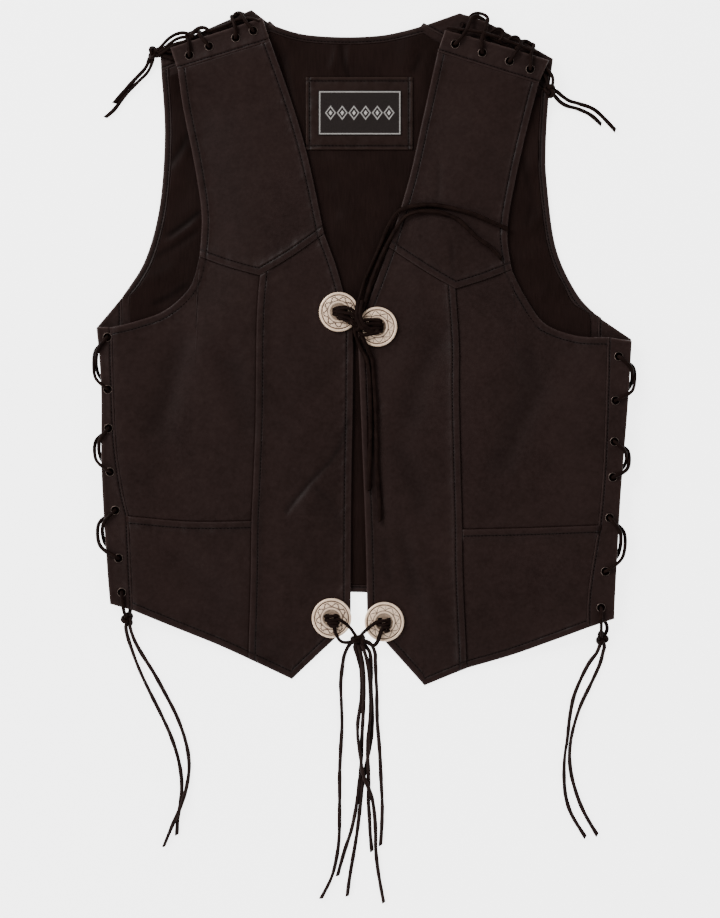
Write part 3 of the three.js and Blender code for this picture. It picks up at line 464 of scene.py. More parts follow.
def sweep(path, wide, thick, twist=0.0, closed=False, slant=0.0, frame_of=carried_frame):
    """Places, faces and UV of a tube: path + aside × cos a × wide / 2 + up × sin a × thick / 2,
    with both turned by twist. Its ends are closed and cut at a slant."""
    way, aside, up = frame_of(path)
    turn = np.broadcast_to(twist, len(path))[:, None]
    first = aside * np.cos(turn) + up * np.sin(turn)
    second = up * np.cos(turn) - aside * np.sin(turn)
    angle = -np.pi / 2 + np.arange(LACE_SIDES) * 2 * np.pi / LACE_SIDES
    wide, thick = (np.broadcast_to(v, len(path))[:, None, None] for v in (wide, thick))
    across = np.cos(angle)[None, :, None] * wide / 2
    tall = np.sin(angle)[None, :, None] * thick / 2
    rings = path[:, None] + first[:, None] * across + second[:, None] * tall
    rings[-1] += way[-1] * np.cos(angle)[:, None] * slant
    far = lengths_along(path)
    v = np.abs(np.arange(LACE_SIDES) / LACE_SIDES * 2 - 1)
    along = np.stack(np.broadcast_arrays(far[:, None] / 10, v[None, :]), axis=-1).reshape(-1, 2)
    places = rings.reshape(-1, 3)
    faces = grid_faces(len(path), LACE_SIDES, round_rows=closed, round_columns=True)
    if closed:
        return places, faces, along
    ends = np.stack([rings[0].mean(axis=0), rings[-1].mean(axis=0)])
    ring = np.arange(LACE_SIDES)
    first_cap = fan(len(places), ring)[:, [0, 2, 1]]
    last_cap = fan(len(places) + 1, ring + len(places) - LACE_SIDES)
    triangles = np.concatenate([faces[:, [0, 1, 2]], faces[:, [0, 2, 3]], first_cap, last_cap])
    return np.concatenate([places, ends]), triangles, np.concatenate([along, [[0, 0], [far[-1] / 10, 0]]])


print("a lace has", LACE_SIDES, "sides")

# %% [markdown]
# ## The free ends of the laces
# Each lace ends in two tails that lie on the table, on the leather or on another tail. The
# rows run from the knot to the cut end as (x, y, height of the lace's middle), and a row
# without a height lies on the table. An oval that lies on its broad side is lower than a
# round one, so a tail's height follows its twist.

# %% Tails
LACE = 3.2 # mm across, as the lace is cut
# Middle and half size of each knot
KNOTS = {
    "upper": {"at": (-7, 22.5, 12.6), "half": (5, 5, 3.6)},
    "lower": {"at": (-5, -274.5, 4.4), "half": (6.5, 4.2, 4)},
    "side_left": {"at": (-222.5, -255, 4.6), "half": (4.2, 4.6, 4)},
    "side_right": {"at": (224, -273, 4.6), "half": (4.2, 4.6, 4)},
    "shoulder_left": {"at": (-198, 278, 4.6), "half": (4, 4.4, 4)},
    "shoulder_right": {"at": (174.5, 241.5, 9.9), "half": (4, 4.4, 3.8)},
}
TAILS = {
    "side_left_1": [
        (-224.5, -262.5, 3.2), (-223.5, -270.5), (-220.5, -280), (-213, -299),
        (-203, -321), (-192, -344.5), (-182.5, -366), (-175, -388),
        (-171.5, -408.5), (-172.5, -427), (-175.5, -442.5), (-177, -459),
    ],
    "side_left_2": [
        (-220.5, -262.5, 3.2), (-219, -269), (-215.5, -277.5), (-209, -288.5),
        (-198, -305.5), (-187.5, -325), (-176.5, -348), (-168.5, -371.5),
        (-165, -392.5), (-166.5, -411.5, 3.2), (-171.5, -430, 5.6), (-179.5, -447.5, 4.2),
        (-189, -469),
    ],
    "side_right_1": [
        (221.7, -281, 3.2), (219, -287.5), (212, -297.5), (203.5, -315),
        (197.5, -330.5), (193.5, -349), (191, -369.5), (189, -385),
        (189, -405), (191, -424), (196.5, -441), (208.5, -461.5),
    ],
    "side_right_2": [
        (226.5, -280.8, 3.2), (225.5, -286.5), (222.5, -297), (214, -315),
        (205.5, -333.5), (199.5, -352), (195, -371), (193.5, -386.5),
        (195, -402), (200, -419), (207.5, -436.5), (220, -459),
    ],
    "shoulder_left_1": [
        (-199.5, 270.5, 3.2), (-202, 264.5), (-206, 258.5), (-214.5, 250),
        (-225, 238.5), (-235, 225), (-243.5, 217.5),
    ],
    "shoulder_left_2": [
        (-202.5, 272.5, 3.4), (-204.5, 267, 3), (-208, 261.5, 3), (-216.8, 252, 2.6),
        (-227.6, 240, 2.4), (-235.6, 231),
    ],
    "shoulder_right_1": [
        (181, 241, 9), (187, 237, 5.6), (194, 233, 2.4), (203.5, 230), (218.5, 223.6),
        (237.5, 205.5),
    ],
    "shoulder_right_2": [
        (179.5, 236.5, 9), (185, 231.4, 5.6), (191.6, 228, 2.4), (201, 225.4), (213.5, 219.8),
        (224, 211),
    ],
    "upper_up_1": [
        (-8.5, 30, 12.4), (-6.5, 37, 10.8), (-3.5, 47, 7.6), (1, 64, 5.6), (8, 81, 5.2),
        (15.5, 98.5, 5.2), (23, 114.5, 6.4), (31.5, 127, 8), (43, 132.5, 8.6), (59.5, 135, 9.4),
        (75.5, 133.5, 9.8), (97, 127.5, 9.8), (113, 121, 9.4), (127, 115, 8.2), (135.5, 112, 7.8),
    ],
    "upper_up_2": [
        (-4, 29.5, 12.4), (-1.5, 36, 10.8), (1.5, 45.5, 8.2), (6.2, 61, 7.7), (13, 77.5, 7.7),
        (20.5, 95, 7.7), (28, 109.5, 7.8), (35, 120.5, 7.8), (42.5, 126, 8.4), (54, 128.5, 9.2),
        (70, 127, 9.8), (86, 121.5, 9.8), (97, 113, 9.8), (107.5, 103.5, 9.8), (119.5, 95, 9.2),
        (129, 84, 8),
    ],
    "upper_down_1": [
        (-8.5, 15, 11.6), (-6.5, 9, 10), (-3.5, 2, 8.4), (0.5, -5.5, 7.7), (3.5, -13, 7.6),
        (5, -25.5, 7.6), (5.5, -41, 7.6), (5.5, -67.5, 7.6), (5.5, -93, 7.6), (5.5, -114.5, 7.6),
        (5.5, -133.5, 7.6),
    ],
    "upper_down_2": [
        (-3.5, 15, 12.4), (-1, 8.5, 11.6), (2.5, 1.5, 10.6), (6, -5.5, 8.6), (8.5, -13, 8),
        (9.5, -25.5, 8), (10, -40.5, 8), (10.5, -67, 8), (12, -93, 8), (13.5, -128, 8.2),
        (15, -163, 8.2),
    ],
    "lower_1": [
        (-12, -277.4), (-15, -281, 1.7), (-18.5, -288.5), (-20, -297.5),
        (-21.5, -316), (-21, -334.5), (-21, -354.5), (-22.5, -378),
        (-23, -399.5), (-22.5, -425), (-23.5, -458), (-26.3, -479.5),
        (-31, -499), (-40, -518.5),
    ],
    "lower_2": [
        (-8.5, -281.5, 2.6), (-5.6, -292.5), (-3.2, -304.5), (-2.6, -321.5),
        (-3.6, -336.5), (-5.6, -351.5), (-5.5, -366.5, 3.6), (-3, -384.5, 5.6),
        (-0.5, -401.5, 5.8), (4, -413.5, 5.9), (7.5, -425, 4.5), (9.5, -441), (10.5, -457),
        (11, -472.5), (13.5, -492), (19, -522.5),
    ],
    "lower_3": [
        (-4.5, -281.5, 3.4), (-2.2, -292.5, 4.2), (-1, -304.5, 4.6), (-0.4, -321.5, 4.6),
        (-0.6, -336.5, 4.2), (-1, -351.5, 2.6), (-1.5, -366.5), (-2, -384.5),
        (-3.5, -401.5), (-5.5, -415.5), (-7.5, -429.5), (-11.8, -453),
        (-18, -474), (-24.5, -497),
    ],
    "lower_4": [
        (0.6, -280, 1.65), (2.8, -282.6, 1.7), (5, -286.5), (6, -293.5), (6.5, -304.5),
        (7, -319.5), (8, -336.5), (8, -351.5), (6.5, -366.5), (3.5, -383.5),
        (0.5, -401.5), (-1.5, -415.5), (-3, -429.5), (-6.5, -453),
        (-10, -476), (-15.5, -516.5),
    ],
    "lower_5": [
        (-1, -281.5, 5.2), (2.6, -292.5, 4.4), (4.6, -304.5, 4.6), (5.2, -319.5, 4.6),
        (5.6, -336.5, 4.6), (5, -351.5, 4.4), (4, -366.5, 5.2), (4, -383.5, 5.6), (4.4, -397, 4.8),
        (4.2, -413.5), (3.7, -427), (4.5, -441), (5.5, -457), (7.5, -474),
    ],
    "lower_6": [
        (3, -276.6, 1.65), (7, -279.8, 1.65), (10, -287.5), (10.5, -295), (11.5, -310),
        (12.5, -323.5), (12.5, -338.5), (12.5, -353.5), (13.5, -370),
        (15.5, -396.5), (17.5, -425.5), (17, -445), (15, -468.5),
    ],
}
ON_TABLE = 1.8 # mm, the height of the middle of a lace that lies on the table
ROUTE_STEPS = 400 # steps of a tail's line before its twist is laid on it
TAIL_STEP = 1.7 # mm from one ring of a tail to the next
CORD_STEPS = 32


def flat_frame(path):
    """The frame of a lace that lies flat: aside is level."""
    way = np.gradient(path, axis=0)
    way /= np.linalg.norm(way, axis=1)[:, None]
    aside = np.cross(way, [0, 0, 1.0])
    aside /= np.linalg.norm(aside, axis=1)[:, None]
    return way, aside, np.cross(aside, way)


def add_tail(name, spots, seed):
    """A tail whose twist is the sum of two slow waves of its length."""
    dice = np.random.default_rng(seed)
    knot = next(knot for key, knot in KNOTS.items() if name.startswith(key))
    spots = np.array([(*spot, ON_TABLE)[:3] for spot in spots], float)
    start = 0.45 * np.array(knot["at"]) + 0.55 * spots[0]
    route = through([start, *spots], ROUTE_STEPS)
    path = evenly(route, int(lengths_along(route)[-1] / TAIL_STEP))
    far = lengths_along(path)
    waves = 0.5 * np.sin(far / dice.uniform(22, 40) + dice.uniform(0, 6))
    twist = dice.uniform(-0.5, 0.5) + waves + 0.35 * np.sin(far / dice.uniform(9, 15) + dice.uniform(0, 6))
    half_high = np.hypot(LACE_WIDE / 2 * np.sin(twist), LACE_THICK / 2 * np.cos(twist))
    path[:, 2] += np.minimum(half_high - LACE / 2 - 0.12, 0.3)
    path[:, 2] = np.maximum(path[:, 2], half_high + 0.02)
    sway = 0.5 * np.sin(far / dice.uniform(13, 21) + dice.uniform(0, 6)) * soft(far / 20)
    aside = flat_frame(path)[1]
    path = path + aside * sway[:, None]
    lumps = 1 + 0.05 * np.sin(far / 5.5 + dice.uniform(0, 6)) + 0.04 * np.sin(far / 2.3)
    places, faces, along = sweep(path, LACE_WIDE * lumps, LACE_THICK * lumps, twist,
                                 slant=1.1, frame_of=flat_frame)
    # Tails on the table get the lighter copy of the lace: painted light from the bright table.
    tail_finish = PAINTED_LIGHT_TAIL_LACE if name.startswith(("lower", "side")) else LACE_LEATHER
    piece = add_piece("tail_" + name, places, faces, tail_finish, "lace", ["tail_" + name], along=along)
    points = (evenly(path, CORD_STEPS) - MIDDLE) / 1000
    length = lengths_along(path)[-1] / 1000
    return length


tail_lengths = {name: add_tail(name, spots, 100 + k) for k, (name, spots) in enumerate(TAILS.items())}
print("tails, mm:", {name: round(length * 1000) for name, length in tail_lengths.items()})

# %% [markdown]
# ## Knots
# Each pair of lace ends is tied in an overhand knot and pulled tight. Its cord follows a
# trefoil, the closed curve that crosses itself three times, squeezed to the knot's size.

# %% Knots
KNOT_STEPS = 84
KNOT_GROWN = {"upper": 1.25, "lower": 1.1} # how much wider than its solid, or else 1.4
KNOT_CORD = (4.2, 3.3) # mm wide and thick
KNOT_CORE = (6, 5)


def add_knot(name, at, half, seed):
    """Path of t from 0 to 2 pi: x = (sin t + 2 sin 2t) / 3, y = (cos t - 2 cos 2t) / 3,
    z = -sin 3t, times the room that the knot leaves its cord. A thick short bar fills the
    knot's middle."""
    t = np.arange(KNOT_STEPS) * 2 * np.pi / KNOT_STEPS
    x = (np.sin(t) + 2 * np.sin(2 * t)) / 3
    y = (np.cos(t) - 2 * np.cos(2 * t)) / 3
    knot = np.stack([x, y, -np.sin(3 * t)], axis=1)
    turn = np.random.default_rng(seed).uniform(0, 2 * np.pi)
    c, s = np.cos(turn), np.sin(turn)
    knot = knot @ np.array([[c, s, 0], [-s, c, 0], [0, 0, 1]])
    grown = KNOT_GROWN.get(name, 1.4)
    room = np.array(half) * [grown, grown, 1.05] - [0.9, 0.9, 1.5]
    path = np.array(at) + knot * room
    places, faces, along = sweep(path, *KNOT_CORD, closed=True)
    bar = np.array(at) + np.outer(np.linspace(-1, 1, 12), [0.55 * half[0], 0.4 * half[1], 0.2 * half[2]])
    core, core_faces, core_along = sweep(bar, *KNOT_CORE)
    triangles = np.concatenate([faces[:, [0, 1, 2]], faces[:, [0, 2, 3]], core_faces + len(places)])
    return add_piece("knot_" + name, np.concatenate([places, core]), triangles, LACE_LEATHER, "lace",
                     ["knot_" + name], along=np.concatenate([along, core_along]))


for k, (name, knot) in enumerate(KNOTS.items()):
    add_knot(name, knot["at"], knot["half"], 300 + k)
print("knots:", len(KNOTS))

# %% [markdown]
# ## Outlines
# Each piece of leather is cut along lines that a maker would draw on the hide. A row of
# the tables is one spot on such a line. The lines are smooth curves through their spots,
# and two pieces that are sewn together share the line between them.

# %% The fronts' outlines
FRONTS = {
    "left": {
        "shoulder_top": [(-182, 282), (-95.5, 310)],
        "shoulder_seam": [(-175, 261), (-88, 288)],
        "armhole_upper": [(-175, 261), (-169.5, 222), (-159.5, 172), (-153, 125), (-155, 86)],
        "neck_upper": [(-88, 288), (-68.5, 233.5), (-52.5, 178.5), (-37.5, 108)],
        "yoke_side": [(-155, 86), (-127, 76), (-98, 68)],
        "yoke_centre": [(-98, 68), (-67.5, 86.5), (-37.5, 108)],
        "armhole_lower": [(-155, 86), (-164, 57.5), (-187, 36), (-214.5, 25), (-236.5, 19.5)],
        "strip_upper": [(-236.5, 19.5), (-235.5, -24.5), (-233, -86.5), (-227.5, -129), (-221, -158)],
        "strip_lower": [(-221, -158), (-219, -203.5), (-217, -246.5)],
        "strip_outer": [(-251, 19.5), (-247, -37.5), (-246.5, -116.5), (-241.5, -203.5), (-238.5, -240.5)],
        "welt": [(-221, -158), (-163.5, -163), (-106, -162.5)],
        "vertical_upper": [(-98, 68), (-101, 26.5), (-102.5, -76), (-106, -162.5)],
        "vertical_lower": [(-106, -162.5), (-107, -229), (-109, -292.5)],
        "hem_side": [(-217, -246.5), (-180, -262), (-139.5, -278.5), (-109, -292.5)],
        "hem_centre": [(-109, -292.5), (-68, -312)],
        "hem_point": [(-68, -312), (-45, -290), (-27.5, -273.5), (-12.5, -258.5)],
        "neck_lower": [(-37.5, 108), (-28, 82.5), (-20.5, 57.5), (-10, 17)],
        "front_edge": [(-10, 17), (-10.5, -49.5), (-12, -143), (-12.5, -258.5)],
    },
    "right": {
        "shoulder_top": [(173.5, 270), (140.5, 280.5), (105.5, 290.5), (76, 298.5)],
        "shoulder_seam": [(164, 248), (69, 278)],
        "armhole_upper": [(164, 248), (156, 217.5), (142.5, 158), (135, 110.5), (139, 74)],
        "neck_upper": [(69, 278), (55.5, 217.5), (42, 158), (23, 95)],
        "yoke_side": [(139, 74), (113, 64), (86, 55.5)],
        "yoke_centre": [(86, 55.5), (57, 72.5), (23, 95)],
        "armhole_lower": [(139, 74), (151.5, 49), (170, 23.5), (200, 11.5), (228.5, 10)],
        "strip_upper": [(228.5, 10), (227, -50), (224.5, -114), (220, -166.5)],
        "strip_lower": [(220, -166.5), (210.5, -229), (209.5, -263)],
        "strip_outer": [(251.5, 6.5), (247.5, -58), (241, -139.5), (236, -229), (235, -254.5)],
        "welt": [(220, -166.5), (156, -169), (92.5, -170.5)],
        "vertical_upper": [(86, 55.5), (89.5, 3), (89.5, -50), (92.5, -170.5)],
        "vertical_lower": [(92.5, -170.5), (93, -216), (97, -301.5)],
        "hem_side": [(209.5, -263), (175, -276), (139, -289), (97, -301.5)],
        "hem_centre": [(97, -301.5), (57, -318)],
        "hem_point": [(57, -318), (19, -275.5), (3, -257.5)],
        "neck_lower": [(23, 95), (11, 62.5), (2, 38.5), (-6, 14)],
        "front_edge": [(-6, 14), (-2, -88), (1.5, -180.5), (3, -257.5)],
    },
}
# How many parts a line is cut into, so that two lines sewn together agree
PARTS = {
    "shoulder_top": 7, "shoulder_seam": 7, "armhole_upper": 8, "neck_upper": 8, "yoke_side": 3,
    "yoke_centre": 4, "armhole_lower": 4, "strip_upper": 10, "strip_lower": 6, "strip_outer": 16,
    "welt": 7, "vertical_upper": 10, "vertical_lower": 6, "hem_side": 7, "hem_centre": 1,
    "hem_point": 3, "neck_lower": 4, "front_edge": 12,
}
print("lines of one front:", len(FRONTS["left"]))

# %% The back's outlines
BACK = {
    "neck": [(-88.5, 305), (-68.5, 298.5), (-48, 295), (-16, 293.5), (15, 295), (38, 299), (56, 303.5)],
    "hem": [(-209, -241), (-107, -234), (-5.5, -230), (99.5, -239), (200, -251.5)],
    "left": {
        "shoulder_top": [(-192, 280), (-148.5, 300), (-106, 318.5)],
        "shoulder_seam": [(-191, 260.5), (-88.5, 305)],
        "armhole": [(-191, 260.5), (-188, 199.5), (-193, 133), (-206.5, 83), (-228, 47.5)],
        "side": [(-228, 47.5), (-225.5, -76), (-216, -146.5), (-209, -241)],
        "outer": [(-252, 19), (-247, -37.5), (-246.5, -116.5), (-241.5, -203.5), (-238.5, -240)],
    },
    "right": {
        "shoulder_top": [(178, 272.5), (120.5, 304.5), (90, 315.5)],
        "shoulder_seam": [(174, 240), (56, 303.5)],
        "armhole": [(174, 240), (171.5, 190), (172.5, 156), (181, 94.5), (201, 51), (220.5, 29.5)],
        "side": [(220.5, 29.5), (216.5, -114), (206, -199.5), (200, -251.5)],
        "outer": [(251.5, 8.5), (247.5, -58), (241, -139.5), (236, -229), (235, -254)],
    },
}
FINE = 8 # points of a line for each of its parts
CUT = {
    side: {name: through(spots, FINE * PARTS[name]) for name, spots in lines.items()}
    for side, lines in FRONTS.items()
}
print("left front edge, mm:", round(lengths_along(CUT["left"]["front_edge"])[-1]))

# %% [markdown]
# ## A panel of leather
# A panel is a grid of places between four lines, blended from them (a Coons patch). What
# makes it look sewn is near its edges: a rounded rim, a folded band and a row of stitches
# that pulls the leather down. So the grid's outer lines run at fixed distances from the
# edges, and every groove lies exactly on one of them.

# %% The grid of a panel
RATE_STEPS = 81 # places of an edge where its grid's rate is measured
SETTLING = 6 # rounds until the two families of lines agree


def blended(edges):
    """Place of (u, v): the two blends of facing lines are added, and the blend of the four
    corners is taken off."""
    top, bottom, left, right = (edges[k] for k in ("top", "bottom", "left", "right"))

    def along(line, t):
        at = np.clip(t, 0, 1) * (len(line) - 1)
        return np.stack([np.interp(at, np.arange(len(line)), line[:, k]) for k in (0, 1)], axis=-1)

    def place(u, v):
        a, b = u[..., None], v[..., None]
        facing = along(top, u) * (1 - b) + along(bottom, u) * b
        facing += along(left, v) * (1 - a) + along(right, v) * a
        corners = (top[0] * (1 - a) + top[-1] * a) * (1 - b)
        corners = corners + (bottom[0] * (1 - a) + bottom[-1] * a) * b
        return facing - corners

    return place


def panel_grid(edges, margins, across, down, kinks=(), least=0.0):
    """A grid whose first and last lines lie margins mm inside the four edges. kinks are the
    corners of an outline as (edge, share along it), and a line of the grid starts there.
    least keeps the grid from shearing where an edge runs almost along the lines.
    Returns the places and each place's distance from the four edges."""
    place = blended(edges)
    count = len(margins)
    t = np.linspace(0, 1, RATE_STEPS)
    small = 1e-3

    def spread(at_end, turned):
        """How many mm a step of 1 across the edge moves away from it."""
        u, v = (t, np.full_like(t, at_end)) if turned else (np.full_like(t, at_end), t)
        inward = small if at_end == 0 else -small
        across_step = (place(u, v + inward) if turned else place(u + inward, v)) - place(u, v)
        lo, hi = np.clip(t - small, 0, 1), np.clip(t + small, 0, 1)
        ends = [(place(k, v) if turned else place(u, k)) for k in (lo, hi)]
        way = ends[1] - ends[0]
        away = np.abs(across_step[:, 0] * way[:, 1] - across_step[:, 1] * way[:, 0])
        return away / np.linalg.norm(way, axis=1) / small

    rate = {"left": spread(0, False), "right": spread(1, False)}
    rate |= {"top": spread(0, True), "bottom": spread(1, True)}
    rate = {edge: np.maximum(values, least * np.median(values)) for edge, values in rate.items()}
    shares = {}
    sides, ends = ("left", "right"), ("top", "bottom")
    for (first, last), inner, names in ((sides, across, ends), (ends, down, sides)):
        share = np.linspace(0, 1, inner + 2)[1:-1]
        for edge, kink in kinks:
            if edge not in names:
                continue
            end = 0 if edge == names[0] else -1
            low = margins[-1] / rate[first][end]
            high = 1 - margins[-1] / rate[last][end]
            wanted = (kink - low) / (high - low)
            share[np.argmin(np.abs(share - wanted))] = wanted
        shares[first] = share

    def lines(first, last, other):
        near, far = (np.interp(other, t, rate[k]) for k in (first, last))
        low, high = margins[-1] / near, 1 - margins[-1] / far
        total = len(shares[first]) + 2 * count
        shape = (1, -1) if first == "left" else (-1, 1)
        k = np.arange(total).reshape(shape)
        inner = np.concatenate([np.zeros(count), shares[first], np.ones(count)]).reshape(shape)
        start = np.concatenate([margins, np.zeros(total - count)]).reshape(shape)
        finish = np.concatenate([np.zeros(total - count), margins[::-1]]).reshape(shape)
        value = np.where(k < count, start / near, low + (high - low) * inner)
        return np.where(k >= total - count, 1 - finish / far, value)

    rows, columns = 2 * count + down, 2 * count + across
    u = np.tile(np.linspace(0, 1, columns), (rows, 1))
    v = np.tile(np.linspace(0, 1, rows)[:, None], (1, columns))
    for _ in range(SETTLING):
        u, v = lines("left", "right", v), lines("top", "bottom", u)
    away = {
        "left": u * np.interp(v, t, rate["left"]), "right": (1 - u) * np.interp(v, t, rate["right"]),
        "top": v * np.interp(u, t, rate["top"]), "bottom": (1 - v) * np.interp(u, t, rate["bottom"]),
    }
    return place(u, v), away, {"left": v, "right": v, "top": u, "bottom": u}


MARGINS = np.array([0, 0.25, 0.7, 1.4, 2.8, 4.4, 5.5, 6.1, 6.5, 6.9, 7.5, 8.6, 10.6, 13.8, 18])
STITCH_LINE = 8 # the line of MARGINS that the stitches follow
print("stitches lie", MARGINS[STITCH_LINE], "mm inside an edge")

# %% [markdown]
# ## How an edge is sewn
# On a free edge the leather is folded under, so a band along it is twice as thick, and the
# stitches hold the fold down. Where one panel lies over the next, its edge stands higher
# still. A panel that goes under its neighbour keeps its thickness. Thread tension puckers
# the leather a little between the holes.

# %% Relief along the edges
FOLD_RISE = 0.8 # mm that a folded band stands up
LAP_RISE = 0.9 # mm more where a panel lies over its neighbour
GROOVE = 0.7 # mm that the stitches pull down
PUCKER = 0.2
SEWN = ("over", "free", "flat") # kinds of edges that carry stitches


def edge_relief(places, away, param, kinds, margins, line, seed, fold=None, lap=LAP_RISE):
    """Height added to a panel's face, and a mask of the edge: above 0 where it is rubbed, which is also a
    painted highlight, and below 0 in the stitch groove, which is painted shade. kinds gives for each edge the
    rows (from, to, kind), as shares along the edge. fold is the folded band's height, where it ends and how
    long its end takes."""
    fold = fold or (FOLD_RISE, margins[line] + 0.6, 2.4)
    dice = np.random.default_rng(seed)
    band = margins[line]
    rise = np.zeros(places.shape[:2])
    lapped = np.zeros_like(rise)
    groove = np.zeros_like(rise)
    pucker = np.zeros_like(rise)
    wear_and_painted_light = np.zeros_like(rise)
    for edge, spans in kinds.items():
        d, t = away[edge], param[edge]
        far = lengths_along(places[:, 0 if edge == "left" else -1] if edge in ("left", "right")
                            else places[0 if edge == "top" else -1])
        reach = far[:, None] if edge in ("left", "right") else far[None, :]
        wave = np.zeros_like(reach)
        for length in (9.0, 14.0, 23.0, 41.0):
            wave = wave + np.sin(2 * np.pi * (reach / length + dice.random())) * (length / 30) ** 0.5
        for start, end, kind, *fade in spans:
            here = soft((t - start) / 0.012 + (1 if start == 0 else 0.5))
            here = here * soft((end - t) / (fade or [0.012])[0] + (1 if end == 1 else 0.5))
            if kind == "under":
                rise -= 0.25 * here * hump(d, 3.0)
                continue
            rise = np.maximum(rise, here * fold[0] * (1 - soft((d - fold[1]) / fold[2])))
            if kind == "over":
                lapped = np.maximum(lapped, here * lap * (1 - soft((d - band + 1) / 9)))
            # Rubbed edge: wear, and a painted highlight too.
            rub_and_highlight = hump(d, 1.3) * (0.25 if kind == "over" else 0.7)
            if kind in SEWN:
                groove = np.maximum(groove, here * hump(d - band, 0.85))
                pucker += here * wave * hump(d - band - 1, 4.5)
            wear_and_painted_light = np.maximum(wear_and_painted_light, here * rub_and_highlight)
    # The stitch groove is taken off the mask as painted shade.
    return rise + lapped - GROOVE * groove + PUCKER * pucker, np.clip(wear_and_painted_light - groove, -1, 1), lapped


def shell(places, under, over, rim):
    """A closed sheet between two heights over a grid. Within half its thickness of the rim
    both faces curve together like half a circle: height = middle ± half × root(1 - (1 - d / half)²)."""
    middle, half = (under + over) / 2, (over - under) / 2
    share = np.clip(rim / np.maximum(half, 0.05), 0, 1)
    bulge = half * np.sqrt(1 - (1 - share) ** 2)
    rows, columns = rim.shape
    top = np.dstack([places, middle + bulge]).reshape(-1, 3)
    below = np.dstack([places, middle - bulge]).reshape(-1, 3)
    upper = grid_faces(rows, columns)
    index = np.arange(rows * columns).reshape(rows, columns)
    inside = np.zeros((rows, columns), bool)
    inside[1:-1, 1:-1] = True
    lower_index = np.where(inside, 0, index)
    lower_index[inside] = rows * columns + np.arange(inside.sum())
    lower = lower_index.ravel()[upper][:, ::-1]
    return np.concatenate([top, below[inside.ravel()]]), np.concatenate([upper, lower]), inside.ravel()


print("an edge band is", FOLD_RISE, "mm higher than the panel")

# %% [markdown]
# ## Stitches
# A stitch is a short rounded bar of thread that dips into the leather at both ends. All
# stitches of a panel are one mesh: the bar is made once, and numpy sets a copy at each
# place along the line.

# %% Rows of stitches
STITCH = {"pitch": 3.3, "long": 2.5, "thick": 0.62}
BAR_RINGS = np.array([-0.82, 0.0, 0.82]) # share of the half length
BAR_WIDE = np.array([0.75, 1.0, 0.75])
BAR_SIDES = 5


def stitch_bars(line):
    """Places and faces of a row of bars. A bar's point is its middle, plus forth along the
    line, plus a circle across it, plus a sag of the square of the share of its length."""
    pitch, long, thick = (STITCH[k] for k in ("pitch", "long", "thick"))
    far = lengths_along(line)
    count = int(far[-1] / pitch)
    at = (np.arange(count) + 0.5) * far[-1] / max(count, 1)

    def spot(distance):
        return np.stack([np.interp(distance, far, line[:, k]) for k in range(3)], axis=1)

    middle = spot(at)
    way = spot(at + 0.5) - spot(at - 0.5)
    way /= np.linalg.norm(way, axis=1)[:, None]
    aside = np.cross(way, [0, 0, 1.0])
    aside /= np.linalg.norm(aside, axis=1)[:, None]
    up = np.cross(aside, way)
    angle = np.arange(BAR_SIDES) * 2 * np.pi / BAR_SIDES
    circle = np.stack([np.cos(angle), np.sin(angle)], axis=1) * thick / 2
    forth = np.repeat(BAR_RINGS, BAR_SIDES) * long / 2
    wide = np.repeat(BAR_WIDE, BAR_SIDES)
    ring = np.tile(circle, (3, 1)) * wide[:, None]
    forth = np.concatenate([forth, [-long / 2, long / 2]])
    ring = np.concatenate([ring, np.zeros((2, 2))])
    sag = -0.3 * (forth / (long / 2)) ** 2
    bars = middle[:, None] + way[:, None] * forth[None, :, None]
    bars = bars + aside[:, None] * ring[None, :, :1] + up[:, None] * (ring[None, :, 1:] + sag[None, :, None])
    k = np.arange(BAR_SIDES)
    after = (k + 1) % BAR_SIDES
    sides = [np.stack([k, after, after + BAR_SIDES, k + BAR_SIDES], axis=1) + r * BAR_SIDES for r in range(2)]
    tips = [fan(3 * BAR_SIDES, k)[:, [0, 2, 1]], fan(3 * BAR_SIDES + 1, 2 * BAR_SIDES + k)]
    quads = np.concatenate(sides)
    caps = np.concatenate(tips)
    offset = (np.arange(count) * bars.shape[1])[:, None, None]
    return bars.reshape(-1, 3), (quads[None] + offset).reshape(-1, 4), (caps[None] + offset).reshape(-1, 3)


def add_stitches(name, lines, finish, slot):
    """One mesh of all the stitches along several lines."""
    places, quads, caps, start = [], [], [], 0
    for line in lines:
        bars, sides, tips = stitch_bars(line)
        places.append(bars)
        quads.append(sides + start)
        caps.append(tips + start)
        start += len(bars)
    quads, caps = np.concatenate(quads), np.concatenate(caps)
    triangles = np.concatenate([quads[:, [0, 1, 2]], quads[:, [0, 2, 3]], caps])
    return add_piece(name, np.concatenate(places), triangles, finish, slot)


print("a stitch is", STITCH["long"], "mm long, one each", STITCH["pitch"], "mm")

# %% [markdown]
# ## How the leather lies
# The fronts lie on the lining and are a little full in the middle, like a cushion that is
# nearly empty. They climb to the laced seams, where the strips stand over each other with
# the laces between them, and they sink to the table past the back's hem. Folds and creases
# that the leather keeps are soft ridges and troughs, laid one by one.

# %% Heights of the fronts
BACK_LEATHER, FRONT_LEATHER, LINING = 1.6, 1.8, 1.0 # thicknesses in mm
LACED_BACK, LACED_FRONT, LYING_FRONT = 3.9, 9.4, 3.7 # heights of undersides
PUFF, PUFF_RUN = 2.2, 50 # how full a front is, and how far from its free edges
LIFT_RUN = {"back": 40, "front": 55} # how far from a laced seam the leather lies down
PRESSED_FROM, PRESSED_RUN = 24, 30 # round a disc, where the leather is pressed flat
DROOP_START, DROOP_RUN = 25, 50 # below the back's hem, where a front sinks to the table
CONCHOS = {
    "upper_left": (-23.7, 34), "upper_right": (12.5, 20),
    "lower_left": (-30.5, -254), "lower_right": (19, -257.5),
}
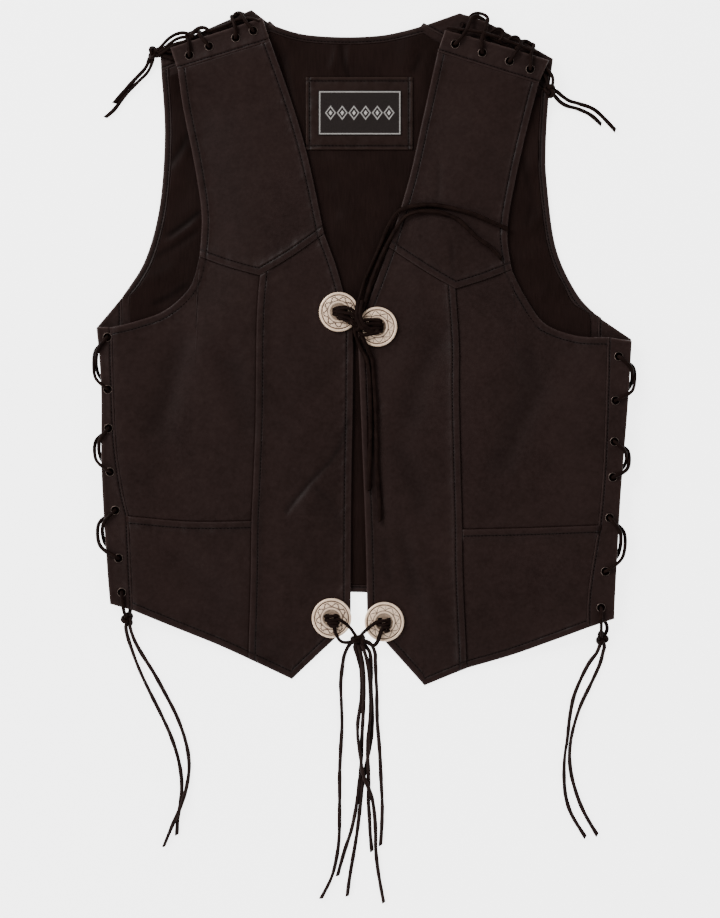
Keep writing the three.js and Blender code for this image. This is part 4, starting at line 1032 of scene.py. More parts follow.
# Folds: which front, the line of its middle, width and height in mm
FOLDS = [
    ("left", [(-15.5, -67.7), (-21.6, -91), (-32, -107), (-49, -124), (-65, -143), (-73, -154)], 3.2, -1.1),
    ("left", [(-9, -92), (-22, -112), (-38, -129), (-52, -146)], 10, 1.5),
    ("left", [(-44, -131), (-30, -148), (-22.5, -166)], 4, -0.7),
    ("left", [(-172, 8), (-184, -42), (-197, -74)], 15, -2.2),
    ("left", [(-128, -12), (-108, -70)], 13, -1.6),
    ("left", [(-177.5, -203), (-139, -231)], 18, -1.6),
    ("right", [(66, 6), (50, -30), (41, -66)], 14, -2.2),
    ("right", [(33, -92), (45, -120), (54, -148)], 12, -1.6),
    ("right", [(152, -6), (163, -36), (146, -70), (130, -106)], 14, -2.6),
    ("right", [(19, -182), (23, -215)], 5, -0.7),
    ("right", [(35, -240), (62, -240)], 14, 1.6),
    ("right", [(36, -176), (41, -205), (47, -228)], 8, -1.1),
    ("right", [(69.5, 172), (70.5, 158), (69, 145)], 4, -0.6),
    ("right", [(83, 97), (83.5, 68)], 2.4, -0.35),
]
SNAPS = [(19.7, -58.3), (22, -144.8)] # two snaps under the right front press through the leather


def distance_to(line, places):
    """The least distance of each place (n, 2) from a line of points."""
    a, b = line[:-1], line[1:]
    step = b - a
    t = ((places[:, None] - a) * step).sum(-1) / (step**2).sum(-1)
    nearest = a + np.clip(t, 0, 1)[..., None] * step
    return np.sqrt(((places[:, None] - nearest) ** 2).sum(-1).min(axis=1))


def fold_heights(rows, side, flat):
    """Each fold adds its height × e^-(distance / width)²."""
    total = np.zeros(len(flat))
    for where, line, width, height in rows:
        if where == side:
            total += height * hump(distance_to(np.array(line, float), flat), width)
    return total


def snap_heights(side, flat):
    """Each snap lifts a round patch of leather by 0.5 mm."""
    away = np.min([np.hypot(*(flat - place).T) for place in np.array(SNAPS)], axis=0)
    return 0.5 * soft((5.4 - away) / 1.4) * (side == "right")


def painted_crease_shade(rows, side, places):
    """Painted shade in the hollows of the folds, 0 to 1: the steeper and narrower, the darker."""
    flat = places.reshape(-1, 2)
    hollows = [(where, line, max(width * 0.7, 2), -2.2 * height / width)
               for where, line, width, height in rows if height < 0]
    return np.clip(fold_heights(hollows, side, flat), 0, 1).reshape(places.shape[:-1])


BACK_CUT = {
    "neck": through(BACK["neck"], 6 * FINE), "hem": through(BACK["hem"], 14 * FINE),
    **{
        side: {name: through(spots, FINE * {"armhole": 7, "side": 9, "outer": 9}.get(name, 4))
               for name, spots in BACK[side].items()}
        for side in ("left", "right")
    },
}


def front_underside(side, places):
    """The height of a front's underside over places (..., 2)."""
    flat = places.reshape(-1, 2)
    cut = CUT[side]
    seams = [joined(cut["strip_upper"], cut["strip_lower"]), cut["shoulder_seam"]]
    free = [joined(cut["neck_upper"], cut["neck_lower"], cut["front_edge"]),
            joined(cut["armhole_upper"], cut["armhole_lower"])]
    inside = np.minimum(*(distance_to(line[::2], flat) for line in free))
    discs = np.min([np.hypot(*(flat - place).T) for place in np.array(list(CONCHOS.values()))], axis=0)
    middle = soft(inside / PUFF_RUN) * soft((discs - PRESSED_FROM) / PRESSED_RUN)
    lying = LYING_FRONT + (PUFF + fold_heights(FOLDS, side, flat)) * middle + snap_heights(side, flat)
    raised = np.max([soft(1 - distance_to(line[::2], flat) / LIFT_RUN["front"]) for line in seams], axis=0)
    hem = np.interp(flat[:, 0], BACK_CUT["hem"][:, 0], BACK_CUT["hem"][:, 1])
    held = 1 - soft((hem - flat[:, 1] - DROOP_START) / DROOP_RUN)
    height = (lying * (1 - raised) + LACED_FRONT * raised) * held
    return height.reshape(places.shape[:-1])


print("the fronts stand", LYING_FRONT, "to", LACED_FRONT, "mm above the table")

# %% [markdown]
# ## The fronts
# Each front is four panels. The yoke lies over the panels below it in a pointed seam, the
# centre panel lies over the side panel, and the pocket's folded edge lies over the side
# panel above it. A panel's name and edges say how it is sewn.

# %% Panels of the fronts
def cut_size(places):
    """A panel's width and length in metres, and its area in square metres by the sum of
    its cells' half diagonal products."""
    size = np.ptp(places.reshape(-1, 2), axis=0) / 1000
    a = places[1:, 1:] - places[:-1, :-1]
    b = places[1:, :-1] - places[:-1, 1:]
    area = np.abs(a[..., 0] * b[..., 1] - a[..., 1] * b[..., 0]).sum() / 2e6
    return tuple(size), min(area, size[0] * size[1])


def sewn(**kinds):
    """Edges that are each sewn in one way from end to end."""
    return {edge: [(0, 1, kind)] for edge, kind in kinds.items()}


def panel_edges(side):
    """Each panel's four edges, how each is sewn, its corners and its grid. A sewn stretch is
    (from, to, kind) as shares of the edge, and a fourth number is how softly it ends."""
    c = CUT[side]
    return {
        "front_yoke": {
            "edges": {
                "top": c["shoulder_seam"], "bottom": joined(c["yoke_side"], c["yoke_centre"]),
                "left": c["armhole_upper"], "right": c["neck_upper"],
            },
            "kinds": sewn(top="under", bottom="over", left="free", right="free"),
            "kinks": [("bottom", 3 / 7)], "lines": (44, 80),
        },
        "front_side": {
            "edges": {
                "top": joined(c["armhole_lower"][::-1], c["yoke_side"]), "bottom": c["welt"],
                "left": c["strip_upper"], "right": c["vertical_upper"],
            },
            "kinds": {
                "top": [(0, 0.36, "free", 0.12), (4 / 7, 1, "under")],
                **sewn(bottom="under", left="under", right="under"),
            },
            "kinks": [("top", 4 / 7)], "lines": (64, 94), "least": 0.45,
        },
        "front_pocket": {
            "edges": {
                "top": c["welt"], "bottom": c["hem_side"],
                "left": c["strip_lower"], "right": c["vertical_lower"],
            },
            "kinds": sewn(top="over", bottom="free", left="under", right="under"),
            "kinks": [], "lines": (34, 26),
        },
        "front_centre": {
            "edges": {
                "top": c["yoke_centre"], "bottom": joined(c["hem_centre"], c["hem_point"]),
                "left": joined(c["vertical_upper"], c["vertical_lower"]),
                "right": joined(c["neck_lower"], c["front_edge"]),
            },
            "kinds": sewn(top="under", bottom="free", left="over", right="free"),
            "kinks": [("bottom", 1 / 4)], "lines": (46, 220),
        },
    }


STEEP = {"left": 40, "right": 27} # above this y the armhole's edge is steep


def steep_band(side, places):
    """The folded band along the steep part of the armhole, by true distance from the edge. Returns its height
    and its groove; the groove is also used as painted shade."""
    flat = places.reshape(-1, 2)
    away = distance_to(CUT[side]["armhole_lower"], flat)
    here = soft((flat[:, 1] - STEEP[side]) / 12)
    inside = MARGINS[STITCH_LINE]
    groove = here * hump(away - inside, 0.9)
    rise = here * FOLD_RISE * (1 - soft((away - inside - 0.6) / 2.4)) - GROOVE * groove
    return rise.reshape(places.shape[:-1]), groove.reshape(places.shape[:-1])


def steep_stitches(side):
    """The line of stitches along the steep part of the armhole's edge."""
    edge = CUT[side]["armhole_lower"]
    way = np.gradient(edge, axis=0)
    way /= np.linalg.norm(way, axis=1)[:, None]
    inward = np.stack([-way[:, 1], way[:, 0]], axis=1) * (1 if side == "left" else -1)
    line = edge + MARGINS[STITCH_LINE] * inward
    line = line[(line[:, 1] > STEEP[side] - 4) & (np.arange(len(line)) > 1)]
    return np.column_stack([line, front_underside(side, line) + FRONT_LEATHER + 0.22])


def stitch_lines(surface, param, kinds, line):
    """The grid's lines that carry stitches, without the corners and the edges that are
    under a neighbour."""
    rows, columns = surface.shape[:2]
    picks = {
        "left": (surface[:, line], param["left"][:, line]),
        "right": (surface[:, columns - 1 - line], param["right"][:, columns - 1 - line]),
        "top": (surface[line], param["top"][line]),
        "bottom": (surface[rows - 1 - line], param["bottom"][rows - 1 - line]),
    }
    found = []
    for edge, spans in kinds.items():
        path, t = picks[edge]
        last = rows if edge in ("left", "right") else columns
        before, after = ("top", "bottom") if edge in ("left", "right") else ("left", "right")
        shown = [kinds[k][0][2] != "under" for k in (before, after)]
        stretch = slice(line if shown[0] else 1, last - line if shown[1] else last - 1)
        path, t = path[stretch], t[stretch]
        for start, end, kind, *_ in spans:
            if kind in SEWN:
                found.append(path[(t >= start) & (t <= end)])
    return found


TUCK = 3.0 # mm that a skived edge goes on under its neighbour


def tucked(places, param, kinds):
    """Moves the outermost line of an edge that is under a neighbour outwards, so the sheet
    thins to nothing beneath it, as a skived edge does."""
    moved = places.copy()
    for edge, spans in kinds.items():
        out, near = {
            "left": ((slice(None), 0), (slice(None), 1)), "right": ((slice(None), -1), (slice(None), -2)),
            "top": ((0, slice(None)), (1, slice(None))), "bottom": ((-1, slice(None)), (-2, slice(None))),
        }[edge]
        way = places[out] - places[near]
        way = way / np.maximum(np.linalg.norm(way, axis=1), 1e-6)[:, None]
        t = param[edge][out]
        for start, end, kind, *_ in spans:
            if kind == "under":
                moved[out] += TUCK * way * ((t >= start) & (t <= end))[:, None]
    return moved


def add_panel(name, recipe, underside, thickness, finish, seed, rests_on, margins=MARGINS,
              line=STITCH_LINE, slot="leather", fold=None, lap=LAP_RISE, extra=None, dark=None,
              rows=(), holes=None, rings=None):
    """A panel as a closed sheet with its stitches. extra and dark are functions of the places: extra gives
    more height, and dark gives painted shade that is taken off the edge mask. rows are more lines of
    stitches, holes are cut out, and rings are set into them."""
    kinds = recipe["kinds"]
    places, away, param = panel_grid(recipe["edges"], margins, *recipe["lines"], recipe["kinks"],
                                     recipe.get("least", 0.0))
    under = underside(places)
    relief, wear_and_painted_light, lapped = edge_relief(places, away, param, kinds, margins, line, seed, fold, lap)
    more = extra(places) if extra else np.zeros_like(under)
    # Painted shade from dark is taken off the mask.
    wear_and_painted_light = wear_and_painted_light - dark(places) if dark else wear_and_painted_light
    rim = np.minimum.reduce(list(away.values())) - margins[0]
    places = tucked(places, param, kinds)
    over = under + thickness + relief + more
    points, faces, inside = shell(places, under + 0.9 * lapped + 0.9 * np.maximum(more, 0), over, rim)
    wear_and_painted_light = np.concatenate([wear_and_painted_light.ravel(), wear_and_painted_light.ravel()[inside]])
    piece = add_piece(name, points, faces, finish, slot, [name], values={"wear_and_painted_light": wear_and_painted_light})
    surface = points[: rim.size].reshape(rim.shape + (3,))
    threads = [path + [0, 0, 0.12] for path in stitch_lines(surface, param, kinds, line)] + list(rows)
    pieces = [add_stitches(name + "_stitches", threads, THREAD, slot)] if threads else []
    if holes:
        cut_out(piece, holes)
    if rings:
        pieces.append(rings)
    flat, area = cut_size(places)
    print(name, "cut", [round(v, 3) for v in flat], "area", round(area, 4), "faces", len(faces))


for number, side in enumerate(("left", "right")):
    for k, (kind, recipe) in enumerate(panel_edges(side).items()):
        steep = {}
        if kind == "front_side":
            steep = {"extra": lambda p, s=side: steep_band(s, p)[0], "rows": [steep_stitches(side)]}
        add_panel(
            f"{kind}_{side}", recipe, lambda p, s=side: front_underside(s, p), FRONT_LEATHER, LEATHER,
            10 * number + k, ["back_lining"],
            # Painted shade in the creases, and in the stitch groove of the steep armhole band.
            dark=lambda p, s=side, own="extra" in steep: painted_crease_shade(FOLDS, s, p) + own * steep_band(s, p)[1],
            **steep,
        )

# %% [markdown]
# ## The back and its lining
# The back is one panel of leather. Along the neck, the armholes and the hem its edge is
# turned over onto the lining and stitched. The lining is satin and lies loosely, so it
# makes soft folds where no front presses on it.

# %% The back
BACK_MARGINS = np.array([0, 0.25, 0.7, 1.4, 2.6, 3.8, 4.6, 5.0, 5.4, 6.0, 6.6, 7.0, 7.25, 8.0, 10.5, 15])
BACK_STITCH = 7 # the line of BACK_MARGINS that the stitches follow
TURNED_EDGE = 7 # mm of leather turned over onto the lining
BACK_EDGES = {
    "top": joined(BACK_CUT["left"]["shoulder_seam"], BACK_CUT["neck"],
                  BACK_CUT["right"]["shoulder_seam"][::-1]),
    "bottom": BACK_CUT["hem"],
    "left": joined(BACK_CUT["left"]["armhole"], BACK_CUT["left"]["side"]),
    "right": joined(BACK_CUT["right"]["armhole"], BACK_CUT["right"]["side"]),
}


def back_underside(places):
    """The height of the back's underside: level on the table, and raised at the laced seams."""
    flat = places.reshape(-1, 2)
    seams = [BACK_CUT[side][name] for side in ("left", "right") for name in ("side", "shoulder_seam")]
    raised = np.max([soft(1 - distance_to(line[::2], flat) / LIFT_RUN["back"]) for line in seams], axis=0)
    return (LACED_BACK * raised).reshape(places.shape[:-1])


NECK_FROM, NECK_TO, ARMHOLE_TO = 4 / 14, 10 / 14, 7 / 16 # shares of the top and of a side
add_panel(
    "back_panel",
    {
        "edges": BACK_EDGES,
        "kinks": [("top", NECK_FROM), ("top", NECK_TO), ("left", ARMHOLE_TO), ("right", ARMHOLE_TO)],
        "kinds": {
            "top": [(0, NECK_FROM, "under"), (NECK_FROM, NECK_TO, "free"), (NECK_TO, 1, "under")],
            **{side: [(0, ARMHOLE_TO, "free"), (ARMHOLE_TO, 1, "under")] for side in ("left", "right")},
            **sewn(bottom="free"),
        },
        "lines": (70, 84),
    },
    back_underside, BACK_LEATHER, LEATHER, 50, [], margins=BACK_MARGINS, line=BACK_STITCH,
    fold=(1.5, TURNED_EDGE - 0.2, 0.45),
)

# %% The lining
# Folds of the satin: the line of its middle, width and height in mm
SATIN_FOLDS = [(None, *row) for row in (
    ([(-156, 128), (-166.4, 119.4), (-184.2, 107)], 3.6, -1.5), ([(-158, 119), (-181, 101)], 7, 1.0),
    ([(-159, 110), (-175, 98.7), (-199, 85.5)], 3.8, -1.0),
    ([(-163.6, 205), (-174, 186), (-183, 174)], 4, -1.1),
    ([(-184, 150), (-170, 190)], 9, 0.9), ([(-168, 60), (-182.4, 50), (-197, 43)], 4.4, -1.6),
    ([(-205, 62), (-180, 74)], 7, 0.8), ([(-22, 290), (-30, 262)], 4, 1.0),
    ([(-12, 290), (-16, 266)], 4, 0.8), ([(-70, 270), (-62, 200)], 10, 1.0),
    ([(-22, 284), (-18, 266), (-15, 256)], 3.4, -0.9), ([(52, 276), (47, 262)], 4, -1.0),
    ([(40, 280), (44, 215)], 9, 0.9), ([(-30, 180), (20, 160)], 9, 0.9),
    ([(-24, 150), (10, 128)], 8, 1.0), ([(-18, 122), (2, 96)], 7, 1.0),
    ([(168, 190), (150, 160)], 8, 1.1), ([(175, 130), (146, 112)], 8, 1.0),
    ([(186, 96), (152, 84)], 8, 1.0), ([(196, 62), (170, 50)], 8, 0.9),
    ([(150, 178), (158, 140), (154, 118)], 5, -1.0), ([(-40, 205), (-60, 160)], 9, 0.9),
)]
LINING_MARGINS = TURNED_EDGE + np.array([0.25, 0.45, 0.8, 1.4, 2.6, 5, 9])


def inside(outline, flat):
    """Whether places lie in a closed outline: an odd number of its edges cross a ray to the right."""
    a, b = outline, np.roll(outline, -1, axis=0)
    x, y = flat[:, :1], flat[:, 1:]
    spans = (a[:, 1] > y) != (b[:, 1] > y)
    rise = np.where(a[:, 1] == b[:, 1], 1.0, b[:, 1] - a[:, 1])
    crosses = x < a[:, 0] + (y - a[:, 1]) / rise * (b[:, 0] - a[:, 0])
    return (spans & crosses).sum(axis=1) % 2 == 1


def front_outline(side):
    """The whole outline of a front, as one closed line."""
    down = ["shoulder_seam", "neck_upper", "neck_lower", "front_edge"]
    up = ["hem_point", "hem_centre", "hem_side", "strip_lower", "strip_upper", "armhole_lower",
          "armhole_upper"]
    return joined(*[CUT[side][line] for line in down], *[CUT[side][line][::-1] for line in up])


def satin_height(places):
    """The lining's folds: full height in the open, and next to none under a front."""
    flat = places.reshape(-1, 2)
    folds = fold_heights(SATIN_FOLDS, None, flat)
    ripple = 0.22 * np.sin(flat[:, 0] / 7.5 + 2.2 * np.sin(flat[:, 1] / 41)) * np.sin(flat[:, 1] / 33 + 1.0)
    room = np.full(len(flat), 1e3)
    for side in ("left", "right"):
        outline = front_outline(side)[::3]
        away = distance_to(outline, flat)
        room = np.minimum(room, np.where(inside(outline, flat), 0, away))
    label = soft((np.maximum(np.abs(flat[:, 0] + 4.5) - 52, np.abs(flat[:, 1] - 221) - 36)) / 10)
    height = (folds + ripple) * (0.12 + 0.88 * soft(room / 10)) * (0.1 + 0.9 * label)
    height = np.clip(height, -0.25, 2.6)
    return height.reshape(places.shape[:-1])


add_panel(
    "back_lining", {"edges": BACK_EDGES, "kinks": [], "kinds": {}, "lines": (146, 168)},
    lambda p: back_underside(p) + BACK_LEATHER + 0.3, LINING, SATIN, 51, ["back_panel"],
    margins=LINING_MARGINS, line=0, slot="lining", extra=satin_height,
    # Painted shade in the lining's creases.
    dark=lambda p: painted_crease_shade(SATIN_FOLDS, None, p),
)

# %% [markdown]
# ## Strips for the laces
# A doubled strip of leather is sewn on along each side and each shoulder, one on the front
# and one on the back. Each has a row of eyelets: a short tube of dark metal with a rolled
# rim. The front strips lie on top, so their holes are cut through, with a Boolean modifier
# that is then applied.

# %% Strips and eyelets
EYELETS = {
    "side": {
        "left": {
            "inwards": 4.2,
            "front": [(-241, 10), (-240.5, -39), (-240, -75.5), (-238.5, -116.5), (-233.5, -152.5),
                      (-230.5, -197.5), (-227.5, -229.5)],
        },
        "right": {
            "inwards": -4.2,
            "front": [(239, -8), (236, -49.5), (235, -88), (233.5, -121.5), (230.5, -159.5),
                      (226.5, -210), (222.5, -244)],
        },
    },
    "shoulder": {
        "left": {
            "front": [(-104, 297.5), (-120.5, 291), (-145.5, 283), (-164, 274.5)],
            "back": [(-106.5, 305.5), (-123.5, 299), (-148, 290.5), (-166.5, 282)],
        },
        "right": {
            "front": [(85.5, 285), (111, 277), (136.5, 269), (156, 261.5)],
            "back": [(93, 304.5), (117, 293), (140, 281), (160.5, 270.5)],
        },
    },
}
EYELET_HOLE = 5.0 # mm across
# One side of an eyelet's section: radius and height over the leather
EYELET_SECTION = np.array([
    (4.3, -0.05), (4.32, 0.18), (4.15, 0.42), (3.8, 0.58), (3.4, 0.6), (3.0, 0.5), (2.7, 0.28), (2.5, -0.1),
    (2.4, -0.7), (2.38, -1.7), (2.6, -1.75), (2.66, -1.0), (2.8, -0.2), (3.4, -0.1),
])
STRIP_MARGINS = np.array([0, 0.25, 0.6, 1.1, 1.7, 2.2, 2.55, 2.9, 3.5, 4.6])
STRIP_STITCH = 6


def eyelet_rows(kind, side):
    """The places of a seam's eyelets in its front and its back strip."""
    rows = EYELETS[kind][side]
    front = np.array(rows["front"], float)
    back = np.array(rows["back"], float) if "back" in rows else front + [rows["inwards"], 0]
    return {"front": front, "back": back}


def turned(section, middle, sides=24, down=False):
    """A closed section turned round an upright axis: (radius × cos, radius × sin, height)."""
    angle = np.arange(sides) * 2 * np.pi / sides
    r, z = section[:, 0][None, :], section[:, 1][None, :]
    x, y = r * np.cos(angle)[:, None], r * np.sin(angle)[:, None]
    ring = np.stack([x, y, np.broadcast_to(-z if down else z, x.shape)], axis=-1)
    return ring.reshape(-1, 3) + middle, grid_faces(sides, len(section), round_rows=True, round_columns=True)


def add_eyelets(name, spots, height, down=False):
    """The eyelets of a strip as one mesh, of blackened metal with a painted highlight on the rim."""
    rings = [turned(EYELET_SECTION, [x, y, height], down=down) for x, y in spots]
    size = len(rings[0][0])
    places = np.concatenate([ring[0] for ring in rings])
    faces = np.concatenate([ring[1] + k * size for k, ring in enumerate(rings)])
    # Painted highlight: all but the outer rim is dark, so only the rim shows the bright colour.
    dark = np.clip(1.15 - hump(EYELET_SECTION[:, 0] - 4.1, 0.35), 0, 1)
    hollow = np.tile(dark, len(places) // len(EYELET_SECTION))
    return add_piece(name, places, faces, GUNMETAL, "nickel", values={"hollow": hollow})


def cut_out(piece, cutter):
    """Cuts a closed mesh out of a piece and keeps the result as the piece's mesh."""
    modifier = piece.modifiers.new("cut", "BOOLEAN")
    modifier.object = cutter
    modifier.solver = "EXACT"
    ready = piece.evaluated_get(bpy.context.evaluated_depsgraph_get())
    mesh = bpy.data.meshes.new_from_object(ready)
    piece.modifiers.clear()
    old = piece.data
    piece.data = mesh
    bpy.data.meshes.remove(old)
    bpy.data.objects.remove(cutter)
    mesh.polygons.foreach_set("use_smooth", np.ones(len(mesh.polygons), dtype=bool))


def upright(rim, spots, low, high, finish):
    """Upright posts of one outline as one mesh, to cut with."""
    sides = len(rim)
    places, faces = [], []
    k = np.arange(sides)
    after = (k + 1) % sides
    for number, spot in enumerate(spots):
        start = number * (2 * sides + 2)
        flat = rim + spot
        places += [np.column_stack([flat, np.full(sides, z)]) for z in (low, high)]
        places.append(np.array([[*spot, low], [*spot, high]]))
        walls = [np.stack([k, after, after + sides], axis=1), np.stack([k, after + sides, k + sides], axis=1)]
        lids = [fan(2 * sides, k)[:, [0, 2, 1]], fan(2 * sides + 1, k + sides)]
        faces += [part + start for part in walls + lids]
    return add_mesh("tool", np.concatenate(places), np.concatenate(faces), finish)


def posts(spots, radius, low, high, sides=24):
    """Upright round posts as one mesh."""
    angle = np.arange(sides) * 2 * np.pi / sides
    rim = np.stack([np.cos(angle) * radius, np.sin(angle) * radius], axis=1)
    return upright(rim, spots, low, high, GUNMETAL)


def strip_recipe(kind, outer, seam):
    """A strip between its outer line and its seam: upright at a side, level at a shoulder."""
    start, end = np.linspace(outer[0], seam[0], 17), np.linspace(outer[-1], seam[-1], 17)
    if kind == "side":
        edges = {"top": start, "bottom": end, "left": outer, "right": seam}
        kinds = sewn(top="folded", bottom="folded", left="folded", right="over")
        return {"edges": edges, "kinds": kinds, "kinks": [], "lines": (12, 112)}
    edges = {"top": outer, "bottom": seam, "left": start, "right": end}
    kinds = sewn(top="folded", left="folded", right="folded", bottom="over")
    return {"edges": edges, "kinds": kinds, "kinks": [], "lines": (60, 14)}


def add_strip(kind, layer, side, seed):
    """A strip with its eyelets, and with holes where it lies on top."""
    name = f"{kind}_strip_{layer}_{side}"
    cut = CUT[side] if layer == "front" else BACK_CUT[side]
    if kind == "side":
        outer = cut["strip_outer"] if layer == "front" else cut["outer"]
        seam = joined(cut["strip_upper"], cut["strip_lower"]) if layer == "front" else cut["side"]
    else:
        outer, seam = cut["shoulder_top"], cut["shoulder_seam"]
    on_top = layer == "front"
    height = LACED_FRONT if on_top else LACED_BACK
    spots = eyelet_rows(kind, side)[layer]

    def dents(places):
        """Leather sinks a little round each eyelet."""
        away = np.linalg.norm(places[:, :, None] - spots, axis=-1).min(axis=-1)
        return -0.3 * hump(away, 6.5)

    add_panel(
        name, strip_recipe(kind, outer, seam), lambda p: np.full(p.shape[:-1], height), BACK_LEATHER,
        STRIP_LEATHER, seed, [], margins=STRIP_MARGINS, line=STRIP_STITCH, fold=(0.25, 3.0, 2.0),
        lap=0.35, extra=dents,
        holes=posts(spots, EYELET_HOLE / 2, height - 3, height + 5) if on_top else None,
        rings=add_eyelets(name + "_eyelets", spots, height + BACK_LEATHER * on_top, not on_top),
    )


SEAMS = [(kind, side) for kind in ("side", "shoulder") for side in ("left", "right")]
STRIPS = [(kind, layer, side) for kind in ("side", "shoulder") for layer in ("front", "back")
          for side in ("left", "right")]
for k, (kind, layer, side) in enumerate(STRIPS):
    add_strip(kind, layer, side, 60 + k)

# %% [markdown]
# ## The lacing
# One lace joins the front and back strips. Its two strands go through the first pair of
# eyelets, cross outside over the edge, run inside to the next pair, cross again, and end
# in a knot at the last pair.

# %% The lacing's route
LACING_ENDS = {
    "side_left": [[(-221, -238, 1.9), (-220, -247.5, 3.4)],
                  [(-226.5, -238, 13.6), (-225.5, -246.5, 12.6), (-224.5, -250.5, 9.6)]],
    "side_right": [[(222, -252, 1.9), (229, -259.5, 2.4), (229, -267, 4.4)],
                   [(222.5, -254, 13.6), (222.5, -263.5, 12.6), (222.8, -269.5, 10.4)]],
    "shoulder_left": [[(-181, 277.5, 7.45), (-189.5, 281, 7.6), (-195.5, 281.5, 7.6)],
                      [(-178, 271, 7.45), (-188.5, 275.5, 7.6), (-195, 274.5, 7.4)]],
    "shoulder_right": [[(168, 265.5, 7.45), (177, 257.5, 7.9), (177.8, 248.5, 10)],
                       [(166, 259.5, 7.45), (172, 254.5, 7.9), (172.8, 247.5, 10)]],
}
# How far each outer crossing stands out past the edge, in mm
BULGES = {
    "side_left": (5.2, 6.8, 7.4), "side_right": (5.4, 5.6, 7.0),
    "shoulder_left": (0.8, 3.0), "shoulder_right": (6.4, 1.4),
}
# Which way is out, past a seam's edge
OUTWARDS = {
    "side_left": (-1, 0), "side_right": (1, 0),
    "shoulder_left": (-0.36, 0.94), "shoulder_right": (0.33, 0.94),
}
# Heights of a lace above both strips, between them and beneath them
ABOVE = LACED_FRONT + BACK_LEATHER + 2.5
BETWEEN = (LACED_BACK + BACK_LEATHER + LACED_FRONT) / 2
BENEATH = LACED_BACK - 2
LACING_STEP = 1.6 # mm from one ring of a lacing to the next


def reach(line, start, way):
    """How far a ray from a place goes before it last crosses a line of spots."""
    a, step = line[:-1], np.diff(line, axis=0)
    cross = way[0] * step[:, 1] - way[1] * step[:, 0]
    gap = a - start
    t = (gap[:, 0] * step[:, 1] - gap[:, 1] * step[:, 0]) / cross
    s = (gap[:, 0] * way[1] - gap[:, 1] * way[0]) / cross
    found = t[(t > 0) & (s >= -0.2) & (s <= 1.2)]
    return found.max() if len(found) else 0.0


def lacing_strand(first, rows, front_edge, back_edge, out, bulge):
    """Places of one strand, and the layer it ends in."""
    layer, places = first, []
    outside = {"front": ABOVE, "back": BENEATH}
    front = rows["front"]
    for i in range(len(front) - 1):
        if i % 2 == 1:
            places += [[*rows[layer][i], BETWEEN], [*rows[layer][i + 1], BETWEEN]]
            continue
        places.append([*rows[layer][i], outside[layer]])
        middle = (front[i] + front[i + 1]) / 2
        gap = np.linalg.norm(front[i + 1] - front[i])
        step = (front[i + 1] - front[i]) / gap
        near = reach(front_edge, middle, out)
        far = max(reach(back_edge, middle, out), near)
        spread = gap * 0.2
        high = LACED_BACK + BACK_LEATHER if far - near > 4 else LACED_FRONT + BACK_LEATHER
        level = (high + LACED_BACK) / 2
        if layer == "front":
            turns = [(-spread * 1.3, far + 0.9, high + 2.2), (-spread * 0.4, far + 2.7, level + 1),
                     (spread * 0.4, far + 2.7, level - 1), (spread * 1.3, far + 0.9, BENEATH + 0.3)]
        else:
            wide = bulge[i // 2]
            turns = [(-spread * 1.7, far + 1.8, BENEATH + 0.5), (-spread * 0.9, far + wide, level - 1.5),
                     (spread * 0.9, far + wide, level + 1.5), (spread * 1.7, far + 1.8, high + 1.9)]
        if far - near > 4 and layer == "front":
            turns.insert(0, (-spread * 1.4, near + 1.5, ABOVE - 0.3))
        elif far - near > 4:
            turns.append((spread * 1.4, near + 1.5, ABOVE - 0.3))
        places += [[*(middle + out * outward + step * forth), z] for forth, outward, z in turns]
        layer = "back" if layer == "front" else "front"
        places.append([*rows[layer][i + 1], outside[layer]])
    last = len(front) - 1
    places.append([*rows[layer][last], outside[layer] if len(front) % 2 == 1 else BETWEEN])
    return places, layer


def add_lacing(kind, side):
    """The whole lace of one seam, from its knot through the eyelets and back to the knot."""
    key = f"{kind}_{side}"
    rows = eyelet_rows(kind, side)
    outline = "strip_outer" if kind == "side" else "shoulder_top"
    front_edge = np.array(FRONTS[side][outline], float)
    back_edge = np.array(BACK[side]["outer" if kind == "side" else "shoulder_top"], float)
    out = np.array(OUTWARDS[key], float)
    strands = [lacing_strand(k, rows, front_edge, back_edge, out, BULGES[key]) for k in ("front", "back")]
    low, high = LACING_ENDS[key]
    ends = [low if layer == "back" else high for _, layer in strands]
    bar = [[*rows["front"][0], BETWEEN], [*rows["back"][0], BETWEEN]]
    knot = [list(KNOTS[key]["at"])]
    route = knot + ends[0][::-1] + strands[0][0][::-1] + bar + strands[1][0] + ends[1] + knot
    line = rounded(np.array(route, float), 3)
    path = evenly(line, int(lengths_along(line)[-1] / LACING_STEP))
    far = lengths_along(path)
    places, faces, along = sweep(path, 3.7 + 0.15 * np.sin(far / 7), 3.1, 0.6 * np.sin(far / 19))
    name = f"{kind}_lacing_{side}"
    add_piece(name, places, faces, LACE_LEATHER, "lace", [name], along=along)
    return round(far[-1])


print("lacings, mm:", {seam: add_lacing(*seam) for seam in SEAMS})

# %% [markdown]
# ## Conchos
# A concho is a stamped metal disc with two slots for a lace. From its rim inwards it has a
# bright raised ring, a fine groove, a wide band that is engraved, a thin ring and a dished
# middle. Its surface is a polar grid whose height is a function of radius and angle. Dark
# polish stays in the hollows, so the mesh carries how hollow each place is.

# %% Conchos
CONCHO_SEAT = LYING_FRONT + FRONT_LEATHER + 0.3
# Radius and height of the disc's turned shape, and of its underside
TURNED_SHAPE = np.array([
    (0, 2.2), (4, 2.25), (7.4, 2.6), (8.6, 3.3), (9.2, 3.55), (9.8, 3.45), (10.3, 3.1), (10.9, 3.05),
    (13, 2.85), (15.1, 2.45), (15.5, 2.0), (15.9, 1.75), (16.3, 2.1), (16.8, 2.55), (17.5, 2.7), (18.2, 2.4),
    (18.6, 1.8), (18.7, 1.2),
])
UNDERSIDE = [(18.6, 0.6), (18.0, 0.1), (12.0, 0.0), (4.0, 0.0)]
